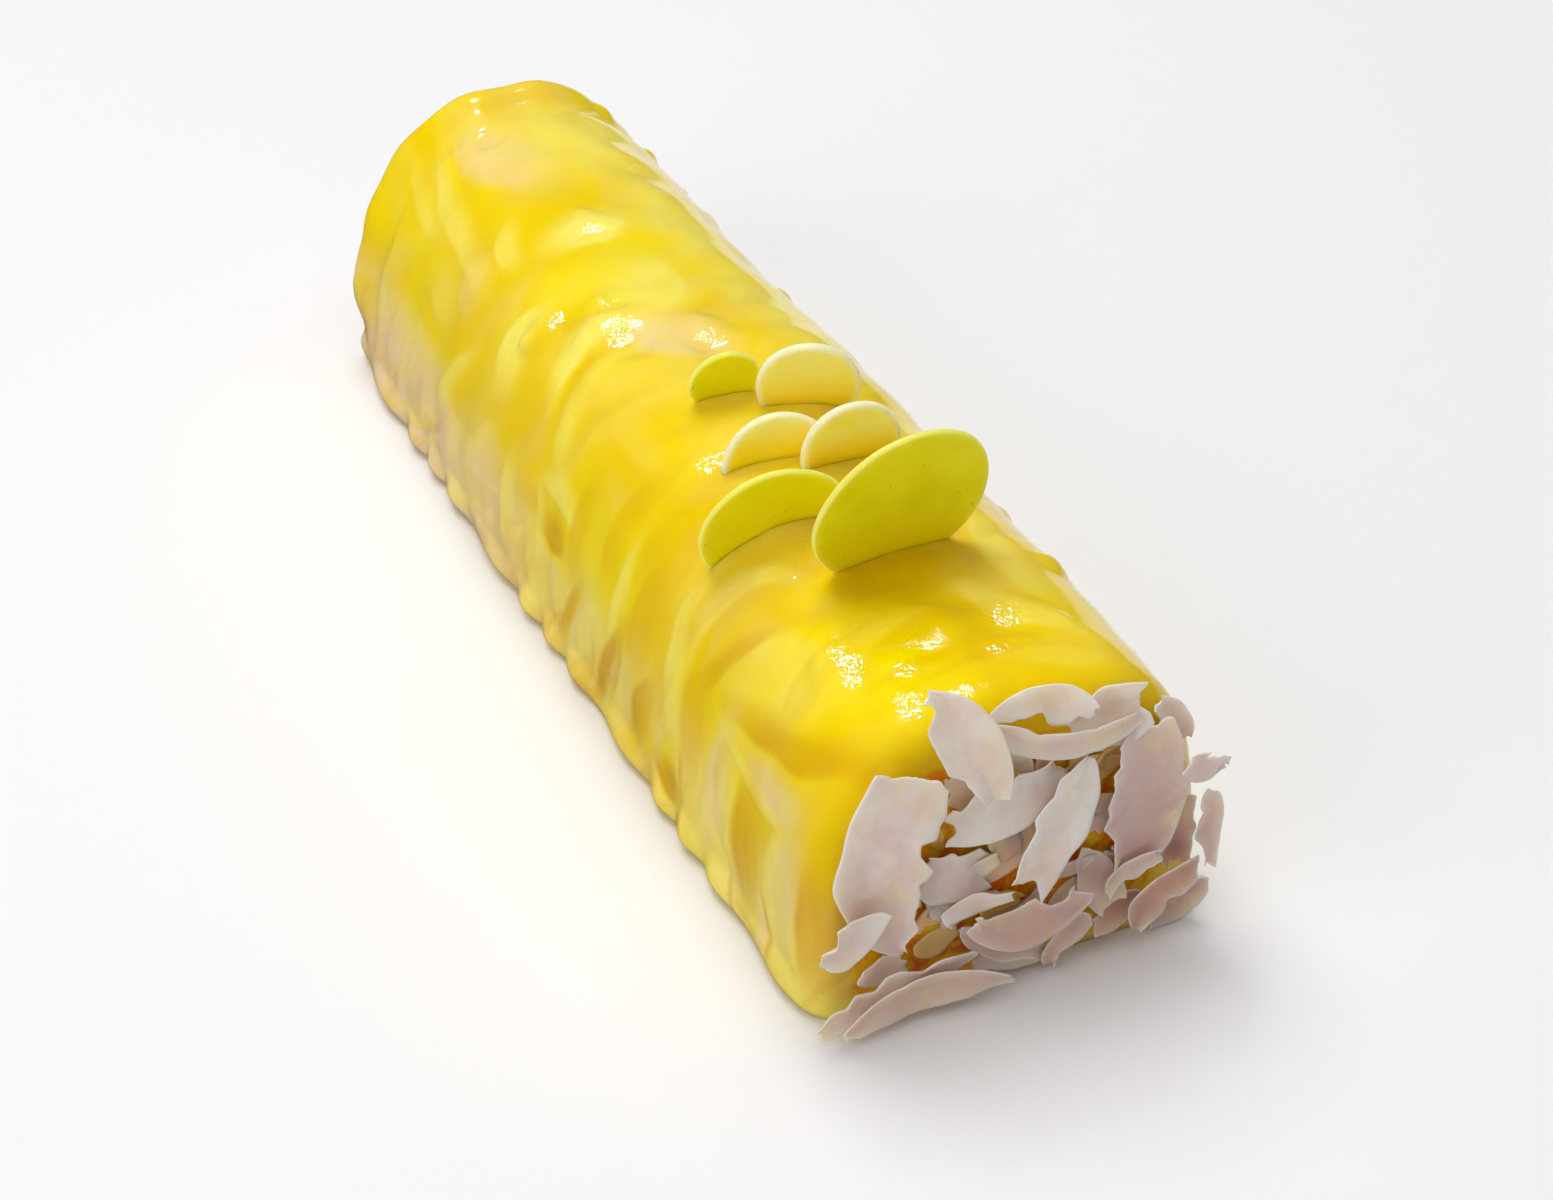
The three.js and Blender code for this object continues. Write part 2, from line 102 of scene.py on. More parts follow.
CREAM = [
    (-57, 5, 17, 14, 250, 0, 0.1, 0.95),
    (-37, 31, 19, 11, 84, 1, 0.2, 0.95),
    (-18, 21, 24, 9, 258, -2, 0.3, 0.85),
    (-30, 7, 26, 16, 200, 2, 0, 0.7),
    (-65, 19, 16, 6, 14, 1, 0, 0.6),
    (-88, 23, 58, 6, 10, 2, 0.2, 0.6),
    (-104, 27, 34, 5, 6, 1, 0, 0.4),
    (-76, 37, 18, 12, 10, 0, 0, 0.4),
    # The cream at negative s, over the ridge on the side turned away, is partly marbling and partly
    # painted sheen.
    (-100, -8, 44, 26, 180, 0, 0, 0.75),
    (-60, -17, 74, 16, 182, -2, 0, 0.8),
    (-12, -16, 60, 18, 178, 2, 0, 0.85),
    (-6, 27, 30, 7, 76, 1, 0.2, 0.5),
    (14, 22, 30, 6, 8, 2, 0, 0.2),
    (93, 28, 34, 15, 172, -2, 0.2, 0.4),
    (72, 28, 26, 6, 292, -3, -0.2, 0.8),
    (64, 44, 36, 8, 84, 1, 0.1, 0.7),
    (101, 44.5, 34, 3, 3, 2, 0.2, 0.7),
    (93, 62, 30, 4, 92, -1, 0, 0.7),
    (102, 76, 18, 4, 4, 1, 0, 0.6),
    (116, 60, 34, 12, 88, 1, 0.2, 0.75),
    (121, 72, 16, 2, 140, 0, 0, 0.7),
    # The cream of these two is partly marbling and partly painted sheen of the glaze at a low angle.
    (104, -12, 30, 6, -34, 2, 0.2, 0.6),
    (84, -19, 34, 8, 8, 2, 0, 0.7),
    (24, 66, 24, 9, 108, 1, -0.2, 0.75),
    (2, 45, 20, 7, 2, -3, 0, 0.8),
    (-7, 56, 24, 4, 84, -2, 0, 0.7),
    (-21.5, 60, 26, 8, 86, 0, 0.2, 0.75),
    (36, 48, 26, 5, 98, 0, 0.2, 0.7),
    (-60, 50, 30, 7, 122, 1, 0.2, 0.6),
    (-41, 57, 28, 5, 126, 1, 0, 0.5),
]

BEIGE = [
    (-100, 9, 40, 16, -6, 0, 0.1, 0.6),
    (-9, 5, 24, 15, -14, 1, 0, 0.65),
    (-92, 66, 70, 32, -4, 2, 0, 0.95),
    (-52, 68, 40, 22, -18, 2, 0, 0.8),
    (-18, 74, 44, 20, -10, 2, 0, 0.6),
    (87, 62, 40, 12, 94, 0, 0.1, 0.75),
    (108, 42, 24, 7, -6, 1, 0, 0.7),
    (118, 60, 34, 13, 94, 0, 0, 0.85),
    (22, 68, 30, 12, 112, 1, 0, 0.6),
    (44, 68, 34, 8, 100, 1, 0, 0.5),
    (4, 70, 30, 9, 100, 1, 0, 0.5),
    (-66, 30, 14, 10, 40, 0, 0, 0.3),
]

GOLD = [
    (-122, 4, 60, 9, 90, 0, 0, 0.3),
    (-84, 40, 46, 12, 8, 1, 0, 0.35),
    (-98, 17, 40, 4, 12, 0, 0, 0.4),
    (-47, 30, 40, 10, 80, 0, 0, 0.3),
    (-49, 50, 22, 14, 0, 0, 0, 0.5),
    (-83, 71, 10, 9, 0, 0, 0, 0.6),
    (-118.5, 62, 20, 7, 90, 0, 0, 0.7),
    (2, 52, 15, 9, -8, 0, 0.1, 1),
    (-11, 25, 16, 6, 80, 0, 0, 0.45),
    (64, 72, 14, 10, 20, 0, 0.1, 1),
    (52, 64, 26, 9, 110, 1, 0.2, 0.8),
    (34, 68, 40, 6, 112, 1, 0.1, 0.9),
    (14, 66, 26, 5, 112, 1, 0.1, 0.8),
    (23, 82, 12, 6, 0, 0, 0, 0.7),
    (101, 60, 30, 13, 90, 0, 0, 0.75),
    (127, 60, 30, 8, 90, 0, 0, 0.8),
    (108, 33, 46, 6, -16, 2, 0, 0.8),
    (78, 34, 30, 5, 304, 1, 0, 0.7),
    (75, 50, 26, 12, 90, 1, 0, 0.5),
    (14, 46, 22, 9, 90, 0, 0, 0.45),
    (30, 36, 26, 8, 96, 0, 0, 0.4),
    (48, 46, 26, 12, 96, 0, 0, 0.45),
    # painted shade: the gold at x 86 is the shade in front of the large green disc
    (86, 2, 14, 22, 0, 0, 0, 0.5),
]

# Where the yellow stays clear of the scattered strokes, as strokes of the same kind.
CLEAR = [
    (-78, 35, 54, 26, 8, 0, 0, 0.9),
    (-66, 4, 40, 18, 28, 4, 0, 0.8),
    (-118, 60, 16, 16, 90, 0, 0, 1),
    (-122, 30, 50, 14, 90, 0, 0, 0.8),
    (-43, 14, 34, 11, 70, 2, 0, 0.9),
    (-51, 46, 24, 20, 110, 2, 0.3, 1),
    (-26, 37, 30, 16, 80, 0, 0, 0.9),
    (-8, 33, 20, 12, 80, 0, 0, 0.8),
    (13, 40, 26, 18, 90, 0, 0, 1),
    (3, 52, 20, 13, 0, 0, 0, 1),
    (42, 40, 36, 34, 90, 0, 0, 0.95),
    (24, 22, 32, 20, 0, 0, 0, 1),
    (90, 6, 28, 32, 90, 0, 0, 1),
    (98, 20, 50, 12, 4, 2, 0, 1),
    (119, 33, 30, 26, 90, 0, 0, 1),
    (101, 54, 24, 18, 90, 0, 0, 1),
    (65, 69, 20, 10, 100, 0, 0, 1),
    (50, 68, 24, 15, 110, 0, 0, 0.9),
    (16, 66, 22, 8, 110, 0, 0, 0.8),
    (120, 4, 26, 30, 90, 0, 0, 0.7),
]

# Strokes scattered over the whole log: how many, seed, then the least and most length, width and
# strength.
BROAD_CREAM = (110, 4, (16, 40), (6, 16), (0.3, 0.9))
BROAD_BEIGE = (150, 8, (14, 44), (5, 14), (0.3, 0.9))
VEINS = (170, 23, (9, 24), (1.2, 2.2), (0.5, 0.9))
DRIPS = (150, 15, (12, 34), (2, 8), (0.3, 0.9))
SCATTER_X, SCATTER_S = 128, 86  # half of the area that they are scattered over
SIDE_FROM, SIDE_NARROWING = 40, 0.72  # those further than that from the ridge are narrower
SCATTER_TURN = 14  # degrees, the usual difference from the way that the glaze ran
SCATTER_BOW, SCATTER_SKEW = 3, 0.5

# mm that a stroke stands up or sinks in, and the ripples: low on the sides, and two all over.
CREAM_RISE, BEIGE_RISE, GOLD_DIP = 0.28, 0.16, 0.14
SIDE_RIPPLE, RIPPLE, SMALL_RIPPLE = 0.22, 0.12, 0.04

# Beads of glaze on the side that is turned away: x, s, radius and height in mm.
DROPS = [
    (-124, -24, 3.0, 1.2), (-109, -31, 2.6, 1.2), (-83, -14, 1.6, 0.5), (-76, -33, 3.4, 1.1),
    (-35, -31, 2.4, 1.0), (88, -26, 3.2, 1.3), (60, -34, 2.4, 0.9), (-96, -36, 2.2, 0.9),
    (22, -38, 2.6, 0.8), (108, -36, 2.4, 0.9),
]

# Flat dimpled spots in the glaze that mirror the lamp: x, s, half length, half width, strength.
GLINTS = [
    (-113, 9, 5, 3, 0.75), (-57, 5, 4, 4, 0.7), (-33, 22, 3, 4, 1), (-28, 12, 3, 3, 0.9),
    (-17, 14, 6, 4, 1), (-4, 1, 5, 3, 1), (37, 17, 3, 4, 0.9), (68, 13, 5, 3, 1),
    (74, 17, 3, 4, 1), (96, 13, 4, 5, 1), (104, 8, 5, 5, 1), (105, 20, 7, 3, 1),
    (106, -8, 4, 4, 0.8), (114, -3, 3, 3, 0.7), (121, 16, 4, 3, 1), (124, 7, 3, 4, 1),
    (112, 13, 3, 3, 0.8),
]
# The way that such a spot faces at each of two places along the log, half-way between the lamp and
# the camera. The distances after them are in a spot's half sizes.
FACING_FAR, FACING_FAR_X = np.array((0.304, -0.124, 0.944)), -113
FACING_NEAR, FACING_NEAR_X = np.array((0.143, -0.176, 0.974)), 97
SPOT_FLAT, SPOT_EDGE, SPOT_REACH = 0.3, 2.2, 3.2
SPOT_UNEVEN = 0.24  # how ragged its outline is, as a share
SPOT_RIPPLE = 0.05  # mm
DIMPLE_SPREAD = 0.62  # the dimples fade out at one over this
PLAIN_DIMPLES = 0.04  # how strongly the rest of the glaze is dimpled

FILLET_HEIGHT = 0.7  # how far in mm the glaze is drawn up against a disc
FILLET_FROM, FILLET_TO = 0.6, 2.8  # mm from the disc's middle plane

# ---- small helpers ----


def lerp(a, b, t):
    return a + (b - a) * t


def smooth(value, start, end):
    """0 up to start and 1 past end, or the other way along where end is the smaller."""
    t = np.clip((value - start) / (end - start), 0, 1)
    return t * t * (3 - 2 * t)


def bump(t):
    """A round hill, 1 at 0 and 0 from 1 outwards."""
    return np.where(np.abs(t) < 1, (1 - t * t) ** 2, 0.0)


def wave(distance, length, phase=0.0):
    return np.sin(2 * np.pi * distance / length + phase)


def noise(u, v, seed):
    """Smooth value noise from -1 to 1, with one bump to a unit of u and v."""
    i, j = np.floor(u), np.floor(v)
    fu, fv = u - i, v - j
    fu, fv = fu * fu * (3 - 2 * fu), fv * fv * (3 - 2 * fv)

    def corner(a, b):
        h = np.sin((i + a) * 127.1 + (j + b) * 311.7 + seed * 74.7) * 43758.5453
        return h - np.floor(h)

    low = lerp(corner(0, 0), corner(1, 0), fu)
    high = lerp(corner(0, 1), corner(1, 1), fu)
    return 2 * lerp(low, high, fv) - 1


def linear(red, green, blue):
    """An sRGB colour of 0 to 255 as the linear one that Blender uses."""
    def one(c):
        c /= 255
        return c / 12.92 if c <= 0.04045 else ((c + 0.055) / 1.055) ** 2.4

    return (one(red), one(green), one(blue), 1.0)


def link(thing):
    bpy.context.scene.collection.objects.link(thing)


def new_piece(name, points, faces, material, replaced=None):
    """A smooth-shaded mesh from points in mm. It rides on the cake and may stand for a CAD node."""
    mesh = bpy.data.meshes.new(name)
    mesh.from_pydata((np.asarray(points) * MM).tolist(), [], faces)
    mesh.polygons.foreach_set("use_smooth", [True] * len(mesh.polygons))
    mesh.materials.append(material)
    mesh.update()
    piece = bpy.data.objects.new(name, mesh)
    link(piece)
    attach(piece, "root")
    if replaced:
        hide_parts(replaced)
    return piece


def add_attributes(piece, **values):
    """Gives each point of a piece the values that its material reads under these names."""
    for name, value in values.items():
        attribute = piece.data.attributes.new(name, "FLOAT", "POINT")
        attribute.data.foreach_set("value", np.asarray(value, np.float32).ravel())


def grid_faces(rows, columns, start=0, closed=False):
    """Quads of a grid of points numbered row by row. closed joins the last column to the first."""
    across = columns if closed else columns - 1
    i, j = np.meshgrid(np.arange(rows - 1), np.arange(across), indexing="ij")
    k = (j + 1) % columns
    a, b = start + i * columns + j, start + i * columns + k
    return np.stack([a, b, b + columns, a + columns], -1).reshape(-1, 4).tolist()


def end_caps(rows, columns):
    """The two faces that close the first and the last row of a closed grid."""
    first = list(range(columns))
    last = [(rows - 1) * columns + k for k in range(columns)]
    return [first[::-1], last]


# ---- materials ----

YELLOW = linear(238, 203, 0)
LIGHT_YELLOW = linear(246, 221, 0)
PALE_YELLOW = linear(250, 232, 30)
MARBLE_BEIGE = linear(242, 214, 170)
MARBLE_CREAM = linear(252, 237, 112)
MARBLE_GOLD = linear(216, 158, 0)
AMBER = linear(238, 124, 14)
LIGHT_AMBER = linear(250, 206, 30)

GREEN = linear(214, 212, 8)
LIGHT_GREEN = linear(224, 221, 26)
GREEN_BOUNCE = linear(220, 207, 2)
GREEN_SPECK = linear(140, 124, 10)
GREEN_LIT_EDGE = linear(240, 234, 120)

WHITE = linear(248, 234, 112)
LIGHT_WHITE = linear(250, 238, 146)
WHITE_BOUNCE = linear(248, 216, 14)
WHITE_LIT_EDGE = linear(255, 238, 200)

FLESH = linear(246, 228, 217)
LIGHT_FLESH = linear(254, 245, 236)
DARK_FLESH = linear(200, 160, 150)
STAINED_FLESH = linear(244, 226, 164)
SOAKED_FLESH = linear(255, 198, 34)
FLESH_LIT_EDGE = linear(252, 244, 232)

PALE_FLOOR = linear(240, 239, 240)


class Paint:
    """The nodes of one Principled material, with the values that are the same all over it."""

    def __init__(self, name, **sockets):
        self.material = bpy.data.materials.new(name)
        self.material.use_nodes = True
        self.nodes = self.material.node_tree.nodes
        self.links = self.material.node_tree.links
        self.shader = self.nodes["Principled BSDF"]
        self.place = self.nodes.new("ShaderNodeTexCoord").outputs["Object"]
        for socket, value in sockets.items():
            self.shader.inputs[socket.replace("_", " ")].default_value = value

    def put(self, socket, value):
        if isinstance(value, bpy.types.NodeSocket):
            self.links.new(value, socket)
        else:
            socket.default_value = value

    def attribute(self, name):
        node = self.nodes.new("ShaderNodeAttribute")
        node.attribute_name = name
        return node.outputs["Fac"]

    def noise(self, size, detail=2.0, rough=0.5, squeeze=(1, 1, 1), twist=0.0):
        """Noise of about that size in mm, 0 to 1. squeeze scales the three axes."""
        scale = self.nodes.new("ShaderNodeVectorMath")
        scale.operation = "MULTIPLY"
        self.links.new(self.place, scale.inputs[0])
        scale.inputs[1].default_value = squeeze
        node = self.nodes.new("ShaderNodeTexNoise")
        self.links.new(scale.outputs[0], node.inputs["Vector"])
        node.inputs["Scale"].default_value = 1 / (size * MM)
        node.inputs["Detail"].default_value = detail
        node.inputs["Roughness"].default_value = rough
        node.inputs["Distortion"].default_value = twist
        return node.outputs["Fac"]

    def sum(self, operation, a, b):
        node = self.nodes.new("ShaderNodeMath")
        node.operation = operation
        self.put(node.inputs[0], a)
        self.put(node.inputs[1], b)
        return node.outputs[0]

    def range(self, value, low, high, to_low=0.0, to_high=1.0):
        node = self.nodes.new("ShaderNodeMapRange")
        node.interpolation_type = "SMOOTHSTEP"
        self.put(node.inputs["Value"], value)
        node.inputs["From Min"].default_value = low
        node.inputs["From Max"].default_value = high
        node.inputs["To Min"].default_value = to_low
        node.inputs["To Max"].default_value = to_high
        return node.outputs["Result"]

    def mix(self, share, a, b):
        node = self.nodes.new("ShaderNodeMix")
        node.data_type = "RGBA"
        self.put(node.inputs["Factor"], share)
        self.put(node.inputs[6], a)  # the colour sockets A and B
        self.put(node.inputs[7], b)
        return node.outputs[2]

    def bump(self, height, strength, depth):
        """Tilts the surface by a height of 0 to 1 that stands for depth mm."""
        node = self.nodes.new("ShaderNodeBump")
        node.inputs["Strength"].default_value = strength
        node.inputs["Distance"].default_value = depth * MM
        self.links.new(height, node.inputs["Height"])
        self.links.new(node.outputs["Normal"], self.shader.inputs["Normal"])

    def depth(self, red, green, blue):
        """How far light of each colour goes inside, in mm."""
        self.shader.inputs["Subsurface Scale"].default_value = MM
        self.shader.inputs["Subsurface Radius"].default_value = (red, green, blue)

    def colour(self, value):
        self.put(self.shader.inputs["Base Color"], value)

    def roughness(self, value):
        self.put(self.shader.inputs["Roughness"], value)


def glaze_material():
    p = Paint("mirror_glaze", Subsurface_Weight=0.5, IOR=1.4, Specular_IOR_Level=0.5)
    p.depth(5, 3, 0.7)
    broad = p.noise(34, 2, 0.5, (0.6, 1, 1), 0.3)
    fine = p.noise(7, 4, 0.6, (0.8, 1, 1), 0.6)
    base = p.mix(p.range(broad, 0.35, 0.68), YELLOW, LIGHT_YELLOW)
    base = p.mix(p.range(fine, 0.5, 0.85, 0, 0.2), base, PALE_YELLOW)
    feather = p.range(fine, 0.3, 0.7, 0.8, 1.1)
    base = p.mix(p.sum("MULTIPLY", p.attribute("beige"), feather), base, MARBLE_BEIGE)
    base = p.mix(p.sum("MULTIPLY", p.attribute("cream"), feather), base, MARBLE_CREAM)
    base = p.mix(p.sum("MULTIPLY", p.attribute("gold"), 0.9), base, MARBLE_GOLD)
    amber = p.mix(p.range(fine, 0.38, 0.6), AMBER, LIGHT_AMBER)
    p.colour(p.mix(p.attribute("amber"), base, amber))
    p.roughness(p.range(p.noise(3, 3), 0.3, 0.7, 0.08, 0.16))
    dimples = p.sum("MULTIPLY", p.noise(1.6, 2, 0.6), p.attribute("glint"))
    p.bump(p.sum("ADD", dimples, p.sum("MULTIPLY", p.noise(0.7, 2), 0.04)), 1.0, 0.36)
    return p.material


def green_material():
    p = Paint("green_chocolate", Subsurface_Weight=1.0, IOR=1.45, Specular_IOR_Level=0.3)
    p.depth(4, 3.4, 0.5)
    base = p.mix(p.range(p.noise(9, 3), 0.3, 0.7), GREEN, LIGHT_GREEN)
    # painted light: the lower part is painted the yellow that the glaze casts up on it
    base = p.mix(p.sum("MULTIPLY", p.attribute("deep"), 0.6), base, GREEN_BOUNCE)
    speck = p.range(p.noise(0.9, 0), 0.8, 0.86, 0, 0.35)
    base = p.mix(speck, base, GREEN_SPECK)
    # painted highlight: the disc's rim is painted paler, as an edge that catches the light
    p.colour(p.mix(p.attribute("rim"), base, GREEN_LIT_EDGE))
    p.roughness(p.range(p.noise(2, 3), 0.3, 0.7, 0.38, 0.5))
    p.bump(p.noise(1.6, 4), 0.15, 0.05)
    return p.material


def white_material():
    p = Paint("white_chocolate", Subsurface_Weight=1.0, IOR=1.45, Specular_IOR_Level=0.3)
    p.depth(4, 3.2, 1.4)
    base = p.mix(p.range(p.noise(8, 3), 0.3, 0.7), WHITE, LIGHT_WHITE)
    # painted light: the lower part is painted the yellow that the glaze casts up on it
    base = p.mix(p.attribute("deep"), base, WHITE_BOUNCE)
    # painted highlight: the disc's rim is painted paler, as an edge that catches the light
    p.colour(p.mix(p.sum("MULTIPLY", p.attribute("rim"), 0.9), base, WHITE_LIT_EDGE))
    p.roughness(p.range(p.noise(2, 3), 0.3, 0.7, 0.38, 0.5))
    p.bump(p.noise(1.6, 4), 0.12, 0.05)
    return p.material


def coconut_material():
    p = Paint("coconut", Subsurface_Weight=0.6, IOR=1.45, Specular_IOR_Level=0.4)
    p.depth(2, 1.4, 1.0)
    cloud = p.range(p.noise(6, 3, 0.55, twist=0.4), 0.3, 0.7)
    base = p.mix(cloud, FLESH, LIGHT_FLESH)
    # painted shade: the shavings get darker low down and towards +Y, with random tone on top
    base = p.mix(p.attribute("tone"), base, DARK_FLESH)
    stain = p.range(p.noise(11, 3, 0.6, twist=0.8), 0.52, 0.72, 0, 0.45)
    base = p.mix(stain, base, STAINED_FLESH)
    base = p.mix(p.attribute("soaked"), base, SOAKED_FLESH)
    # painted highlight: the shavings' thin edges are painted paler, as edges that the light shines
    # through
    p.colour(p.mix(p.sum("MULTIPLY", p.attribute("rim"), 0.5), base, FLESH_LIT_EDGE))
    p.roughness(p.range(p.noise(2, 3), 0.3, 0.7, 0.32, 0.46))
    p.bump(p.noise(0.9, 4, 0.6, twist=0.5), 0.25, 0.08)
    return p.material


def floor_material():
    p = Paint("pale_floor")
    p.colour(PALE_FLOOR)
    p.roughness(0.7)
    return p.material


# ---- the log ----

# Steps of the log's mesh: along it, round it, over each rim, and in to each end's middle. Each foot
# has rows of its own, up to FOOT_ANGLE.
LOG_ALONG, LOG_ROUND, LOG_RIM, LOG_CAP = 300, 220, 9, 16
FOOT_ROWS, FOOT_ANGLE = 14, 0.12
CAP_CENTRE = 0.985  # the share of the way in at which an end's rings stop

END_LUMPS, END_SMALL_LUMPS = 0.45, 0.2  # mm
AMBER_FROM, AMBER_UNEVEN, AMBER_SOFT = 0.05, 0.04, 0.1  # shares of the way in from an end's rim


def from_ridge(phi):
    """The s of an angle from +Y round the middle of the base."""
    return GIRTH * (phi / np.pi - 0.5)


def section_radius(x, phi):
    """Distance from the middle of the base to the plain section's outline, at angle phi from +Y."""
    share = x / LENGTH + 0.5
    power = lerp(FAR_POWER, NEAR_POWER, share)
    half = WIDTH / 2 * lerp(FAR_SWELL, NEAR_SWELL, share)
    across = (np.abs(np.cos(phi)) / half) ** power
    up = (np.maximum(np.sin(phi), 0) / HEIGHT) ** power
    return (across + up) ** (-1 / power)


def noise_round(s, length, row, seed):
    """Noise that only changes on the way round the log."""
    return noise(s / length, row + 0 * s, seed)


def relief(x, phi):
    """The broad unevenness of the glaze, with the groove and the lip by the far end, in mm."""
    s = from_ridge(phi)
    warp = WARP * (wave(x, WARP_ALONG, 0.8) + wave(s + 0.45 * x, WARP_ROUND))
    swell = SWELL * wave(x + 0.7 * s, SWELL_WAVE, 1.1)
    roll = ROLL * wave(x - 0.6 * s, ROLL_WAVE, 0.4)
    folds = FOLD * wave(x + 0.3 * np.abs(s) + warp, FOLD_WAVE) * noise(x / 31, s / 27, 17)
    lumps = LUMP * wave(x - warp + 0.5 * s, LUMP_ALONG) * wave(s - 0.3 * x, LUMP_ROUND)
    from_end = x + LENGTH / 2
    wander = WANDER * noise_round(s, 17, 0.5, 18) + SMALL_WANDER * noise_round(s, 6, 0.5, 19)
    in_groove = bump((from_end - GROOVE_FROM_END - wander) / GROOVE_HALF_WIDTH)
    groove = -GROOVE_DEPTH * in_groove * (0.7 + 0.4 * noise_round(s, 13, 2, 20))
    over_top = bump((s - LIP_MIDDLE) / LIP_HALF_ROUND)
    lip = LIP_HEIGHT * smooth(from_end, LIP_REACH + wander, LIP_FLAT) * over_top
    uneven = LIP_UNEVEN * smooth(from_end, LIP_UNEVEN_REACH, LIP_FLAT) * noise_round(s, 8, 3, 21)
    return swell + roll + folds + lumps + groove + lip + uneven - SINK


def foot_relief(x, z):
    """The foot: tucked in at the ground, rounded at the far corners, with beads that ran down."""
    tuck = -FOOT_TUCK * np.maximum(0, 1 - z / FOOT_TUCK_HEIGHT) ** 2
    by_end = np.maximum(0, 1 - (x + LENGTH / 2) / CORNER_REACH) ** 2
    corner = -CORNER_DEPTH * by_end * np.maximum(0, 1 - z / CORNER_HEIGHT)
    beads = 0.5 + 0.5 * wave(x, BEAD_WAVE, BEAD_WARP * wave(x, BEAD_WARP_WAVE))
    return tuck + corner + BEAD_SIZE * beads * bump((z - BEAD_MIDDLE) / BEAD_HEIGHT)


def stroke_cover(x, s, rows):
    """How far a set of strokes covers each point, 0 to 1."""
    cover = np.zeros_like(x)
    for k, (cx, cs, length, width, angle, bow, skew, strength) in enumerate(rows):
        near = (np.abs(x - cx) < length + width) & (np.abs(s - cs) < length + width)
        turn = math.radians(angle)
        dx, ds = x[near] - cx, s[near] - cs
        t = 2 * (dx * math.cos(turn) + ds * math.sin(turn)) / length
        v = ds * math.cos(turn) - dx * math.sin(turn) - bow * (1 - t * t)
        half = width / 2 * np.maximum(0.25, 1 + skew * t)
        reach = np.hypot(t, v / half)
        sharp = smooth(v / half, -0.3, 0.6) * smooth(np.abs(t), 1.0, 0.5)
        edge = lerp(smooth(reach, 1.6, 0.1), smooth(reach, 1.2, 0.75), sharp)
        streaks = 0.88 + 0.12 * noise(t * length / 16 + k, v / 1.4, k)
        cover[near] = np.maximum(cover[near], strength * streaks * edge)
    return cover


def flow_angle(x, s):
    """The way that the glaze ran at a point, in degrees from +X towards +s."""
    lean = lerp(46, 4, smooth(x, -110, 110))
    down = 90 + lean * np.sign(s)
    lengthwise = smooth(x, -46, -76) * smooth(np.abs(s), 44, 26)
    return lerp(down, 8, lengthwise)


def scattered_strokes(count, seed, lengths, widths, strengths):
    """Strokes all over the log, along the way that the glaze ran."""
    random = np.random.RandomState(seed)
    rows = []
    for _ in range(count):
        x = random.uniform(-SCATTER_X, SCATTER_X)
        s = random.uniform(-SCATTER_S, SCATTER_S)
        angle = flow_angle(x, s) + random.normal(0, SCATTER_TURN) + 180 * random.randint(2)
        length, width = random.uniform(*lengths), random.uniform(*widths)
        if abs(s) >= SIDE_FROM:
            width = SIDE_NARROWING * width
        bow = random.uniform(-SCATTER_BOW, SCATTER_BOW)
        skew = random.uniform(-SCATTER_SKEW, SCATTER_SKEW)
        rows.append((x, s, length, width, angle, bow, skew, random.uniform(*strengths)))
    return rows


def wobble(x, s, broad, middling, seeds):
    """How far in mm a stroke is pushed aside. broad and middling are sizes along and round."""
    push = 2.4 * noise(x / broad[0], s / broad[1], seeds[0])
    push = push + 1.0 * noise(x / middling[0], s / middling[1], seeds[1])
    return push + 0.35 * noise(x / 3, s / 3, seeds[2])


def marble(x, s):
    """The cream, beige and gold cover of the glaze at each point, 0 to 1."""
    dx = wobble(x, s, (22, 19), (8, 7), (3, 5, 6))
    ds = wobble(x, s, (20, 24), (7, 8), (7, 9, 10))
    u, v = x + 0.6 * dx, s + 0.6 * ds  # for the strokes that have a place of their own
    side = smooth(np.abs(s), 42, 62)  # the scattered strokes are stronger there
    free = 1 - stroke_cover(u, v, CLEAR)
    broad_cream = stroke_cover(x + dx, s + ds, scattered_strokes(*BROAD_CREAM))
    veins = stroke_cover(u, v, scattered_strokes(*VEINS))
    cream = (0.34 + 0.46 * side) * free * broad_cream
    cream = np.maximum(cream, (0.1 + 0.7 * side) * free * veins)
    cream = np.maximum(cream, stroke_cover(u, v, CREAM))
    broad_beige = stroke_cover(x + dx, s + ds, scattered_strokes(*BROAD_BEIGE))
    ground = side * lerp(0.85, 0.35, smooth(x, -40, 0))
    beige = np.maximum(ground, (0.2 + 0.7 * side) * broad_beige) * free
    beige = np.maximum(beige, stroke_cover(u, v, BEIGE))
    drips = stroke_cover(x + dx, s + ds, scattered_strokes(*DRIPS))
    gold = np.maximum((0.35 + 0.45 * side) * drips, stroke_cover(u, v, GOLD))
    return cream, beige, gold * lerp(0.4, 1, smooth(x, -50, 20))


def spot_reach(x, s, spot):
    """Distance from a flat spot's middle, in its half sizes."""
    middle_x, middle_s, along, across, _ = spot
    return np.hypot((x - middle_x) / along, (s - middle_s) / across)


